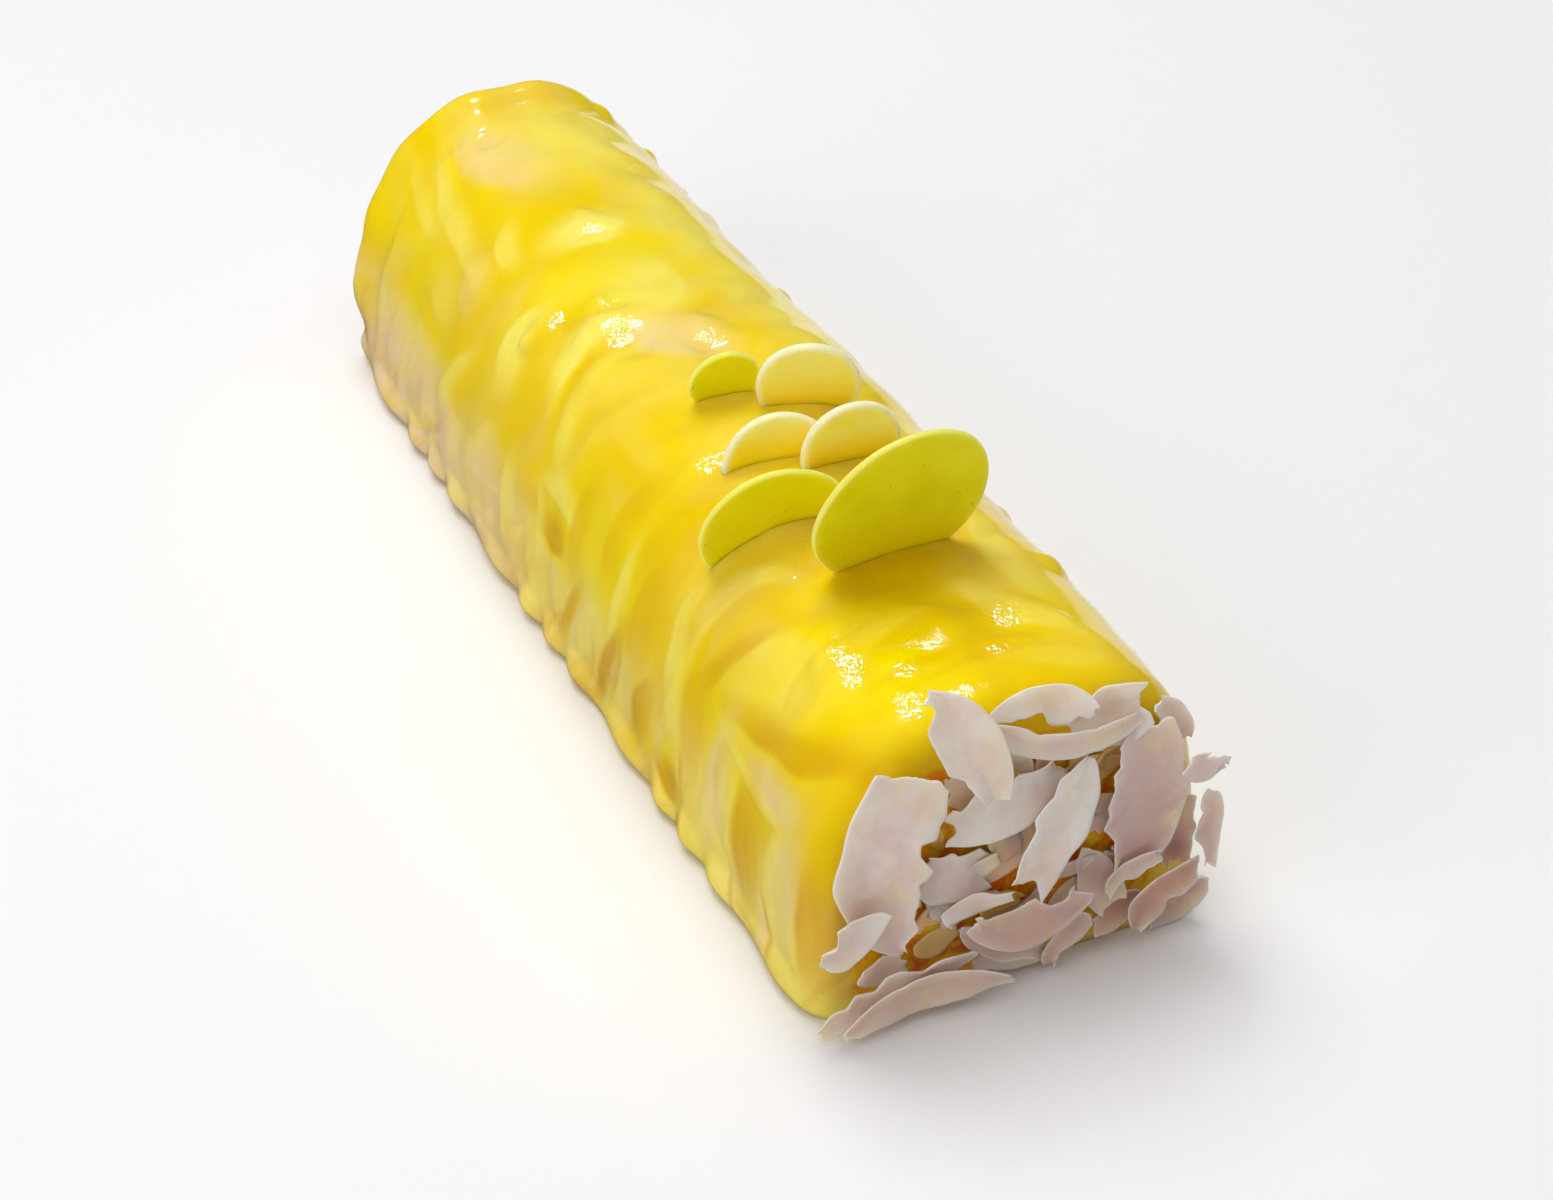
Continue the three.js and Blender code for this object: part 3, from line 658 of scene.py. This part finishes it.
def with_flat_spots(x, phi, r):
    """The log's radius with its flat spots, each a plane that fades into the glaze round it."""
    s = from_ridge(phi)
    flattened = r.copy()
    for k, spot in enumerate(GLINTS):
        reach = spot_reach(x, s, spot)
        middle = np.unravel_index(reach.argmin(), reach.shape)
        share = smooth(spot[0], FACING_FAR_X, FACING_NEAR_X)
        facing = FACING_FAR + (FACING_NEAR - FACING_FAR) * share
        lean = np.cos(phi) * facing[1] + np.sin(phi) * facing[2]
        level = x[middle] * facing[0] + r[middle] * lean[middle]
        near = reach < SPOT_REACH
        flat = (level - x[near] * facing[0]) / lean[near]
        flat = flat + SPOT_RIPPLE * noise(x[near] / 1.6, s[near] / 1.4, 61)
        uneven = reach[near] * (1 + SPOT_UNEVEN * noise(x[near] / 5, s[near] / 4.2, k))
        whole = spot[-1] * smooth(uneven, SPOT_EDGE, SPOT_FLAT)
        flattened[near] = lerp(flattened[near], flat, whole)
    return flattened


def with_fillets(x, phi, r):
    """The log's radius with the glaze drawn up a little against each disc."""
    surface = np.stack([x, r * np.cos(phi), r * np.sin(phi)], -1)
    rise = np.zeros_like(r)
    for at, radius, lean, turn in DISCS.values():
        lean, turn = math.radians(lean), math.radians(turn)
        level = math.cos(lean)
        facing = (math.cos(turn) * level, math.sin(turn) * level, -math.sin(lean))
        offset = surface - at
        away, out = np.abs(offset @ facing), np.linalg.norm(offset, axis=-1)
        here = smooth(away, FILLET_TO, FILLET_FROM) ** 2 * smooth(out, radius + 1.5, radius - 0.8)
        rise = np.maximum(rise, here)
    return r + FILLET_HEIGHT * rise


def sparkle(x, s):
    """How strongly the glaze is dimpled at each point."""
    cover = np.zeros_like(x)
    for spot in GLINTS:
        cover = np.maximum(cover, spot[-1] * bump(DIMPLE_SPREAD * spot_reach(x, s, spot)))
    return PLAIN_DIMPLES + cover


def fine_relief(x, s, cream, beige, gold):
    """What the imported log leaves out: the edges of the marbling, ripples and beads."""
    height = CREAM_RISE * cream + BEIGE_RISE * beige - GOLD_DIP * gold
    low = smooth(np.abs(s), 52, 74)
    runs = noise(x / 4.6 + 0.3 * noise(x / 11, s / 20, 2), s / 30, 31)
    height = height + SIDE_RIPPLE * low * runs
    height = height + RIPPLE * noise(x / 13, s / 13, 33) + SMALL_RIPPLE * noise(x / 5, s / 6, 35)
    for drop_x, drop_s, radius, rise in DROPS:
        height = height + rise * bump(np.hypot(x - drop_x, s - drop_s) / (radius * 1.4))
    return height


def log_rings():
    """x, inset, share of the way in to the end's middle, and side, for every ring of the log."""
    rings = []
    for side, radius in ((-1, RIM_FAR), (1, RIM_NEAR)):
        end = []
        for k in range(1, LOG_RIM + 1):
            turn = math.pi / 2 * k / LOG_RIM
            x = side * (LENGTH / 2 - END_DOME - radius * (1 - math.sin(turn)))
            end.append((x, radius * (1 - math.cos(turn)), 0.0, side))
        for k in range(1, LOG_CAP + 1):
            end.append((end[LOG_RIM - 1][0], radius, CAP_CENTRE * k / LOG_CAP, side))
        rings.append(end)
    far, near = rings
    start = -(LENGTH / 2 - END_DOME - RIM_FAR)
    stop = LENGTH / 2 - END_DOME - RIM_NEAR
    middle = [(x, 0.0, 0.0, 0) for x in np.linspace(start, stop, LOG_ALONG)]
    return far[::-1] + middle + near


def end_lumps(y, z):
    """The unevenness of an end in mm."""
    return END_LUMPS * noise(y / 9, z / 9, 41) + END_SMALL_LUMPS * noise(y / 3.5, z / 3.5, 43)


def make_log(material):
    rings = np.array(log_rings())
    low = np.linspace(0, FOOT_ANGLE, FOOT_ROWS)
    over = np.linspace(FOOT_ANGLE, math.pi - FOOT_ANGLE, LOG_ROUND)[1:-1]
    angles = np.concatenate([low, over, math.pi - low[::-1]])
    x, phi = np.meshgrid(rings[:, 0], angles, indexing="ij")
    inset, share = rings[:, 1:2], rings[:, 2:3]
    s = from_ridge(phi)
    cream, beige, gold = marble(x, s)
    plain = section_radius(x, phi)
    off_ground, well_off = np.minimum(1, 6 * np.sin(phi)), np.minimum(1, 3 * np.sin(phi))
    fine = fine_relief(x, s, cream, beige, gold) * well_off * (1 - share)
    r = plain + off_ground * relief(x, phi) + foot_relief(x, plain * np.sin(phi)) + fine
    r = with_fillets(x, phi, with_flat_spots(x, phi, r)) - inset
    y, z = r * np.cos(phi), np.maximum(0, r * np.sin(phi))
    y, z = y * (1 - share), lerp(z, END_MIDDLE, share)
    lumps = end_lumps(y, z) * smooth(share, 0, 0.12)
    x = x + rings[:, 3:4] * (END_DOME * (1 - (1 - share) ** 2) + lumps)
    points = np.stack([x, y, z], -1).reshape(-1, 3)
    faces = grid_faces(len(rings), len(angles), closed=True) + end_caps(len(rings), len(angles))
    piece = new_piece("glazed_log", points, faces, material, "log")
    paint = {"cream": cream, "beige": beige, "gold": gold, "glint": sparkle(x, s)}
    add_attributes(piece, **{name: cover * (1 - share) for name, cover in paint.items()})
    edge = AMBER_FROM + AMBER_UNEVEN * noise(y / 6, z / 6, 51)
    add_attributes(piece, amber=smooth(share, edge, edge + AMBER_SOFT) + 0 * x)


# ---- discs ----

DISC_SIDES = 120
FACE_STEPS = 12  # from the middle of a face to its edge
EDGE_STEPS = 8  # over the edge
ROUND_OVER = 1.08  # above 1 the edge has a narrow flat between its two rounded corners
DISC_WARP, DISC_GRAIN = 0.22, 0.03  # mm
DISC_OVAL, DISC_WAVY = 0.008, 0.005  # how far from round, as shares of the radius


def disc_profile(radius, thick, edge):
    """Half of a disc's outline, from the back's middle round the rim to the front's middle."""
    half = thick / 2
    steps = [(d, -half) for d in np.linspace(0.04, 1, FACE_STEPS) * (radius - edge)]
    for k in range(1, EDGE_STEPS):
        turn = math.pi * (k / EDGE_STEPS - 0.5)
        high = half * math.sin(turn) * ROUND_OVER
        steps.append((radius - edge + edge * math.cos(turn), max(-half, min(half, high))))
    steps += [(d, half) for d in np.linspace(1, 0.04, FACE_STEPS) * (radius - edge)]
    return np.array([(d, h + DISH * radius * ((d / radius) ** 2 - 0.5)) for d, h in steps])


def make_disc(name, material, kind):
    """A slightly warped disc. kind is its thickness, edge and painted rim highlight, as in GREEN_DISC.
    """
    at, radius, lean, turn = DISCS[name]
    thick, edge, soft = kind
    profile = disc_profile(radius, thick, edge)
    around = np.linspace(0, 2 * math.pi, DISC_SIDES, endpoint=False)
    seed = 10 * radius
    uneven = 1 + DISC_OVAL * np.sin(2 * around + seed) + DISC_WAVY * np.sin(5 * around + 2 * seed)
    warp = DISC_WARP * np.sin(2 * around + seed * 3)
    d, a = np.meshgrid(profile[:, 0], around, indexing="ij")
    h = profile[:, 1:2] + warp * (d / radius) ** 2
    grain = DISC_GRAIN * noise(d * np.cos(a) / 1.6, d * np.sin(a) / 1.6, seed)
    points = np.stack([h + grain, d * uneven * np.cos(a), d * uneven * np.sin(a)], -1)
    turned = Matrix.Rotation(math.radians(turn), 4, "Z") @ Matrix.Rotation(math.radians(lean), 4, "Y")
    place = np.array(Matrix.Translation(at) @ turned)
    points = points.reshape(-1, 3) @ place[:3, :3].T + place[:3, 3]
    faces = grid_faces(len(profile), DISC_SIDES, closed=True) + end_caps(len(profile), DISC_SIDES)
    piece = new_piece(name.replace("disc_", "choc_"), points, faces, material, name)
    # Painted highlight: paler towards the rim, as an edge that catches the light.
    rim = smooth(profile[:, 0:1], radius - edge * soft, radius - edge * 0.4) + 0 * a
    # Painted light: yellower low down, where the glaze casts its yellow up on the disc.
    add_attributes(piece, rim=rim, deep=1 - smooth(points[:, 2] - HEIGHT, 0, 0.9 * radius))


# ---- coconut shavings ----

STATIONS = 7  # rows and columns of points on each face of a packed shaving
ACROSS = 4
ROW_STEP, COLUMN_STEP = 0.55, 0.6  # mm between the dressed one's rows and columns
FEWEST_ROWS, MOST_ROWS = 18, 72
FEWEST_COLUMNS, MOST_COLUMNS = 8, 26

# Tears in a flake's edges: mm between their corners, and their depth in mm. The torn side's are
# shallower in a flake narrower than FULL_TEARS. Next come the most that a side loses, as a share of
# the flake's width.
TORN_SIDE, TORN_SIDE_NICKS = (3.4, 2.86), (1.1, 0.3)
CUT_SIDE = (5.5, 0.5)
TORN_END, TORN_END_NICKS = (2.6, 1.5), (0.9, 0.3)
FULL_TEARS = 9
MOST_TORN, MOST_CUT = 0.34, 0.15

# How far a flake stands off its packed form, in mm. One narrower than FULL_CURL has lower waves and
# less cup and curl.
FLAKE_WAVE, FLAKE_RIPPLE = 0.35, 0.1
FLAKE_CUP, FLAKE_CURL, FLAKE_END_CURL = (0.2, 1.3), (0, 1.2), (0, 1.1)
FULL_CURL = 10
THIN_EDGE, THICK = 0.5, 0.95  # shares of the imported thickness, at the edge and inside
THIN_WITHIN = 1.3  # mm from the edge

CHIPS = 36  # at each end
CHIP_AREA = (29, 22)  # half the width and height in mm of the oval that they lie in
CHIP_MIDDLE = 29  # its height above the base in mm
CHIP_PROUD = (1.5, -0.2)  # mm that they stand out of the end, in its middle and at the oval's rim
CHIP_LENGTH, CHIP_WIDTH = (7, 16), (3.5, 7)
CHIP_ROWS, CHIP_COLUMNS = 17, 8
CHIP_TAPER, CHIP_CURVE = (0.3, 0.7), (-0.12, 0.12)
CHIP_TILT = 0.14  # radians
CHIP_THICK, CHIP_BULGE = 0.3, 0.1  # mm, half of it at the edge and what the middle has more
CHIP_LIFT = 0.6  # of a shaving's waves and curl


def shaving_faces():
    """The triangles of a packed shaving: two grids of STATIONS x ACROSS points and their rim."""
    n = STATIONS * ACROSS
    faces = []
    for i in range(STATIONS - 1):
        for j in range(ACROSS - 1):
            a = i * ACROSS + j
            b = a + ACROSS
            faces += [(a, b, b + 1), (a, b + 1, a + 1)]
            faces += [(n + a, n + b + 1, n + b), (n + a, n + a + 1, n + b + 1)]
    edge = [i * ACROSS for i in range(STATIONS - 1)]
    edge += [(STATIONS - 1) * ACROSS + j for j in range(ACROSS - 1)]
    edge += [i * ACROSS + ACROSS - 1 for i in range(STATIONS - 1, 0, -1)]
    edge += list(range(ACROSS - 1, 0, -1))
    for a, b in zip(edge, edge[1:] + edge[:1]):
        faces += [(a, n + b, b), (a, n + a, n + b)]
    return faces


def turned_edges(faces):
    """For each directed edge of a triangle, the triangle's third corner."""
    third = {}
    for a, b, c in faces:
        third[a, b], third[b, c], third[c, a] = c, a, b
    return third


def match_faces(pattern, mesh, first, start):
    """The mesh's number for each of the pattern's points, or None if they don't match. It walks over
    both from an edge of each, first and start, because the mesh's triangles come in any order."""
    found = dict(zip(first, start))
    todo = [first]
    seen = set()
    while todo:
        a, b = todo.pop()
        if (a, b) in seen:
            continue
        seen.add((a, b))
        c, other = pattern[a, b], mesh.get((found[a], found[b]))
        if other is None or found.setdefault(c, other) != other:
            return None
        todo += [(b, c), (c, a), (b, a)]
    return found if len(set(found.values())) == len(found) else None


def node_triangles(name):
    """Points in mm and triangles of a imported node, with equal points joined."""
    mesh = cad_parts[name].data
    points, numbers, triangles = [], {}, []
    mesh.calc_loop_triangles()
    for triangle in mesh.loop_triangles:
        corners = []
        for v in triangle.vertices:
            key = tuple(round(c / MM, 3) for c in mesh.vertices[v].co)
            if key not in numbers:
                numbers[key] = len(points)
                points.append(key)
            corners.append(numbers[key])
        triangles.append(tuple(corners))
    return np.array(points), triangles


def shaving_grids(name):
    """The outer and the inner face of a packed shaving, each as a grid of points in mm."""
    points, triangles = node_triangles(name)
    pattern, mesh = turned_edges(shaving_faces()), turned_edges(triangles)
    first = (0, ACROSS)
    for start in mesh:
        found = match_faces(pattern, mesh, first, start)
        if found:
            order = [found[k] for k in range(2 * STATIONS * ACROSS)]
            return points[order].reshape(2, STATIONS, ACROSS, 3)
    raise ValueError(f"{name} isn't two grids of {STATIONS} x {ACROSS} points")


def cubic(grid, a, b):
    """Points of a grid of points at row a and column b, on a smooth surface through them all."""
    def padded(g):
        return np.concatenate([2 * g[:1] - g[1:2], g, 2 * g[-1:] - g[-2:-1]])

    def weights(t, count):
        k = np.clip(np.floor(t).astype(int), 0, count - 2)
        f = t - k
        w = [((-0.5 * f + 1) * f - 0.5) * f, (1.5 * f - 2.5) * f * f + 1]
        w += [((-1.5 * f + 2) * f + 0.5) * f, (0.5 * f - 0.5) * f * f]
        return k, w

    g = padded(padded(grid).swapaxes(0, 1)).swapaxes(0, 1)
    i, wi = weights(a, grid.shape[0])
    j, wj = weights(b, grid.shape[1])
    total = 0
    for m in range(4):
        for n in range(4):
            total = total + (wi[m] * wj[n])[..., None] * g[i + m, j + n]
    return total


def torn(random, distance, spacing, depth):
    """How far in an edge is torn at each distance along it. It runs straight from corner to corner."""
    knots = np.arange(-spacing, distance.max() + 2 * spacing, spacing)
    knots = knots + random.uniform(-0.45, 0.45, len(knots)) * spacing
    return np.interp(distance, knots, depth * random.uniform(0, 1, len(knots)) ** 2)


def span(points, axis):
    """The length of each line of a grid of points along one axis."""
    return np.linalg.norm(np.diff(points, axis=axis), axis=-1).sum(axis)


def slab(middle, normal, thick):
    """Points and faces of a sheet with a rounded edge. middle is a grid of points, and thick is half
    the thickness at each of them."""
    rows, columns = middle.shape[:2]
    top, under = middle + normal * thick[..., None], middle - normal * thick[..., None]
    count = rows * columns
    number = np.arange(count).reshape(rows, columns)
    loop = np.concatenate([number[:-1, 0], number[-1, :-1], number[:0:-1, -1], number[0, :0:-1]])
    inward = np.empty_like(middle)
    inward[1:-1, 1:-1] = middle[1:-1, 1:-1]
    inward[0], inward[-1] = middle[1], middle[-2]
    inward[:, 0], inward[:, -1] = middle[:, 1], middle[:, -2]
    edge = middle.reshape(-1, 3)[loop]
    away = edge - inward.reshape(-1, 3)[loop]
    away = away / np.maximum(1e-6, np.linalg.norm(away, axis=1, keepdims=True))
    ring = edge + away * 0.5 * thick.reshape(-1, 1)[loop]
    points = np.concatenate([top.reshape(-1, 3), under.reshape(-1, 3), ring])
    faces = [f[::-1] for f in grid_faces(rows, columns)] + grid_faces(rows, columns, count)
    for k, m in enumerate(np.roll(np.arange(len(loop)), -1)):
        a, b, rim_a, rim_b = int(loop[k]), int(loop[m]), 2 * count + k, 2 * count + int(m)
        faces.append((a, rim_a, rim_b, b))
        faces.append((rim_a, count + a, count + b, rim_b))
    return points, faces


def flake_outline(random, t, q, length, width, here):
    """Where a flake's rows and columns lie on its packed form, 0 to 1 each way, with torn edges.
    here is the width at each row."""
    along, across = t * length, q * width
    spacing, depth = TORN_SIDE
    left = torn(random, along, spacing, depth * min(1, width / FULL_TEARS))
    left = np.minimum(MOST_TORN, (left + torn(random, along, *TORN_SIDE_NICKS)) / here)
    right = np.minimum(MOST_CUT, torn(random, along, *CUT_SIDE) / here)
    low = (torn(random, across, *TORN_END) + torn(random, across, *TORN_END_NICKS)) / length
    high = (torn(random, across, *TORN_END) + torn(random, across, *TORN_END_NICKS)) / length
    T, Q = np.meshgrid(t, q, indexing="ij")
    return lerp(low[None, :], 1 - high[None, :], T), lerp(left[:, None], 1 - right[:, None], Q)


def flake_lift(random, T, Q, length, width, seed):
    """How far a flake stands off its packed form, in mm: waves, a cupped width and curled edges."""
    size = min(1, width / FULL_CURL)
    u, v = T * length, Q * width
    waves = FLAKE_WAVE * size * noise(u / 8 + seed, v / 6, seed)
    waves = waves + FLAKE_RIPPLE * noise(u / 2.6, v / 2.2, seed + 5)
    cup = random.uniform(*FLAKE_CUP) * size * (2 * Q - 1) ** 2
    side = random.uniform(*FLAKE_CURL) * size * (1 - Q) ** 3
    first = random.uniform(*FLAKE_END_CURL) * (1 - T) ** 4
    return waves + cup + side + (first + random.uniform(*FLAKE_END_CURL) * T ** 4)


def make_shaving(name, material, seed):
    """A thin curved flake with a cut edge and a torn one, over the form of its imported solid."""
    outer, inner = shaving_grids(name)
    sides = span(outer, 0)
    if sides[0] > sides[-1]:  # the first column is the shorter side, the one that is torn
        outer, inner = outer[::-1, ::-1], inner[::-1, ::-1]
    random = np.random.RandomState(seed)
    length, width = sides.mean(), span(outer, 1).max()
    rows = int(np.clip(length / ROW_STEP, FEWEST_ROWS, MOST_ROWS))
    columns = int(np.clip(width / COLUMN_STEP, FEWEST_COLUMNS, MOST_COLUMNS))
    t, q = np.linspace(0, 1, rows), np.linspace(0, 1, columns)
    here = np.maximum(0.5, np.interp(t * (STATIONS - 1), np.arange(STATIONS), span(outer, 1)))
    a, b = flake_outline(random, t, q, length, width, here)
    top = cubic(outer, a * (STATIONS - 1), b * (ACROSS - 1))
    under = cubic(inner, a * (STATIONS - 1), b * (ACROSS - 1))
    middle, half = (top + under) / 2, (top - under) / 2
    thick = np.linalg.norm(half, axis=-1)
    normal = half / thick[..., None]
    T, Q = np.meshgrid(t, q, indexing="ij")
    middle = middle + normal * flake_lift(random, T, Q, length, width, seed)[..., None]
    edge = np.minimum(np.minimum(Q, 1 - Q) * here[:, None], np.minimum(T, 1 - T) * length)
    thick = thick * lerp(THIN_EDGE, THICK, smooth(edge, 0, THIN_WITHIN))
    points, faces = slab(middle, normal, thick)
    piece = new_piece(name.replace("coconut", "shaving"), points, faces, material, name)
    # Painted highlight: paler at the edges, as thin edges that the light shines through.
    rim = 0.6 * (1 - smooth(edge.ravel(), 0, 0.6)) + 0.4 * (1 - smooth(edge.ravel(), 0, 3.2))
    rim = np.concatenate([rim, rim, np.ones(len(points) - 2 * rim.size)])
    y, z = points[:, 1], points[:, 2]
    # Painted shade: darker low down and towards +Y, where less light falls; random tone makes each
    # differ.
    tone = 0.5 * smooth(z, 52, 8) + 0.4 * smooth(y, -22, 36) + random.uniform(-0.2, 0.25)
    soaked = 0.12 * smooth(noise(y / 7, z / 7, seed), 0.1, 0.7)
    add_attributes(piece, rim=rim, tone=np.clip(tone, 0, 1), soaked=soaked)


def chip_form(random, seed):
    """Points and faces in mm of one torn flake that lies flat and faces +X."""
    length, width = random.uniform(*CHIP_LENGTH), random.uniform(*CHIP_WIDTH)
    t, q = np.linspace(0, 1, CHIP_ROWS), np.linspace(0, 1, CHIP_COLUMNS)
    taper = 1 - random.uniform(*CHIP_TAPER) * (2 * t - 1) ** 2
    T, Q = flake_outline(random, t, q, length, width, width * taper)
    high = CHIP_LIFT * flake_lift(random, T, Q, length, width, seed)
    curve = random.uniform(*CHIP_CURVE) * length
    across = (Q - 0.5) * width * taper[:, None] + curve * (2 * T - 1) ** 2
    middle = np.stack([high, (T - 0.5) * length, across], -1)
    thick = CHIP_THICK + CHIP_BULGE * bump(2 * Q - 1)
    return slab(middle, np.broadcast_to((1.0, 0, 0), middle.shape), thick)


def make_chips(name, side, material, seed):
    """Smaller flakes in the glaze between the shavings of one end, joined in one mesh."""
    random = np.random.RandomState(seed)
    points, faces, tone, soaked = [], [], [], []
    for k in range(CHIPS):
        turn, out = random.uniform(0, 2 * math.pi), math.sqrt(random.uniform(0, 1))
        spin = Matrix.Rotation(random.uniform(0, 2 * math.pi), 3, "X")
        lean, yaw = random.normal(0, CHIP_TILT), random.normal(0, CHIP_TILT)
        tilt = Matrix.Rotation(lean, 3, "Y") @ Matrix.Rotation(yaw, 3, "Z")
        chip_points, chip_faces = chip_form(random, seed + k)
        chip_points = chip_points @ np.array(tilt @ spin).T
        x = LENGTH / 2 + lerp(*CHIP_PROUD, out ** 2)
        y = CHIP_AREA[0] * out * math.cos(turn)
        z = CHIP_MIDDLE + CHIP_AREA[1] * out * math.sin(turn)
        chip_points = (chip_points + (x, y, z)) * (side, 1, 1)
        if side < 0:
            chip_faces = [face[::-1] for face in chip_faces]
        count = sum(map(len, points))
        faces += [tuple(count + n for n in face) for face in chip_faces]
        points.append(chip_points)
        tone.append(np.full(len(chip_points), random.uniform(0.3, 0.9)))
        soaked.append(np.full(len(chip_points), random.uniform(0, 1) ** 2.5))
    piece = new_piece(name, np.concatenate(points), faces, material)
    tone, soaked = np.concatenate(tone), np.concatenate(soaked)
    add_attributes(piece, rim=np.zeros(len(tone)), tone=tone, soaked=soaked)


# ---- stage, light and camera, in metres ----

FLOOR_REACH = 4.0
WORLD_STRENGTH = 0.09

# Name, direction, distance, size and power of each light. The soft ones shade the cake and stay out
# of its reflections. The lamp does the opposite, and makes the sparkles in the glaze.
SOFT_LIGHTS = [
    ("ceiling", (-0.4, -0.05, 0.9), 2.0, 1.4, 24),
    ("sky", (0, 0.1, 1), 2.5, 3.0, 28),
    ("left_fill", (0.3, -1, 0.5), 2.0, 1.4, 13),
    ("front_fill", (0.9, -0.3, 0.8), 2.0, 1.4, 5),
]
LAMP = ("lamp", (-0.45, 0.1, 0.89), 1.8, 0.13, 14)
GLOW_SIZE = 1.4
GLOW_AT = (-0.5, GLOW_SIZE / 2 + 0.06, 0.003)
GLOW_BRIGHTNESS = 0.75  # where 1 is white

# The camera that was fitted to the photo. Its focal length and the photo's width are in pixels, and
# the sensor's width and its place are in mm.
FOCAL_LENGTH, PHOTO_WIDTH = 3000, 1553
SENSOR_WIDTH = 36
CAMERA_AT = (481.6, -212.6, 376.7)
CAMERA_RIGHT = (0.4197, 0.9076, 0.0068)
CAMERA_UP = (-0.532, 0.2399, 0.812)
CAMERA_BACK = (0.7354, -0.3444, 0.5836)


def make_floor():
    mesh = bpy.data.meshes.new("floor")
    corners = [(a * FLOOR_REACH, b * FLOOR_REACH, 0) for a, b in ((-1, -1), (1, -1), (1, 1), (-1, 1))]
    mesh.from_pydata(corners, [], [(0, 1, 2, 3)])
    mesh.materials.append(floor_material())
    floor = bpy.data.objects.new("floor", mesh)
    floor.visible_glossy = False  # a white floor in the glaze would wash its colours out
    link(floor)


def make_light(name, direction, distance, size, power):
    """A white square light that shines on the cake from a direction."""
    data = bpy.data.lights.new(name, "AREA")
    data.size = size
    data.energy = power
    light = bpy.data.objects.new(name, data)
    away = Vector(direction).normalized()
    light.location = away * distance
    light.rotation_mode = "QUATERNION"
    light.rotation_quaternion = away.to_track_quat("Z", "Y")
    link(light)
    return light


def make_floor_glow():
    """A white card on the floor behind the cake. It shows only in the glaze's shallow reflections."""
    data = bpy.data.lights.new("floor_glow", "AREA")
    data.size = GLOW_SIZE
    data.energy = GLOW_BRIGHTNESS * math.pi * GLOW_SIZE ** 2
    card = bpy.data.objects.new("floor_glow", data)
    card.location = GLOW_AT
    card.rotation_euler = (math.pi, 0, 0)  # it shines upwards
    card.visible_camera = False
    card.visible_diffuse = False
    link(card)


def make_world():
    world = bpy.data.worlds.new("studio")
    world.use_nodes = True
    background = world.node_tree.nodes["Background"]
    background.inputs["Color"].default_value = (1, 1, 1, 1)
    background.inputs["Strength"].default_value = WORLD_STRENGTH
    bpy.context.scene.world = world


def make_camera():
    data = bpy.data.cameras.new("camera")
    data.sensor_width = SENSOR_WIDTH
    data.sensor_fit = "HORIZONTAL"
    data.lens = SENSOR_WIDTH * FOCAL_LENGTH / PHOTO_WIDTH
    data.clip_start, data.clip_end = 0.01, 20
    camera = bpy.data.objects.new("camera", data)
    turned = Matrix((CAMERA_RIGHT, CAMERA_UP, CAMERA_BACK)).transposed()
    camera.rotation_mode = "QUATERNION"
    camera.rotation_quaternion = turned.to_quaternion()
    camera.location = Vector(CAMERA_AT) * MM
    link(camera)
    bpy.context.scene.camera = camera


make_camera()
make_world()
make_floor()
for soft_light in SOFT_LIGHTS:
    make_light(*soft_light).visible_glossy = False
make_light(*LAMP).visible_diffuse = False
make_floor_glow()
bpy.context.scene.view_settings.view_transform = "Standard"

make_log(glaze_material())
greens, whites = green_material(), white_material()
for disc in DISCS:
    if "green" in disc:
        make_disc(disc, greens, GREEN_DISC)
    else:
        make_disc(disc, whites, WHITE_DISC)
flesh = coconut_material()
shavings = [node for node in sorted(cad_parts) if node.startswith("coconut")]
for number, node in enumerate(shavings):
    make_shaving(node, flesh, number + 1)
make_chips("chips_near", 1, flesh, 71)
make_chips("chips_far", -1, flesh, 72)
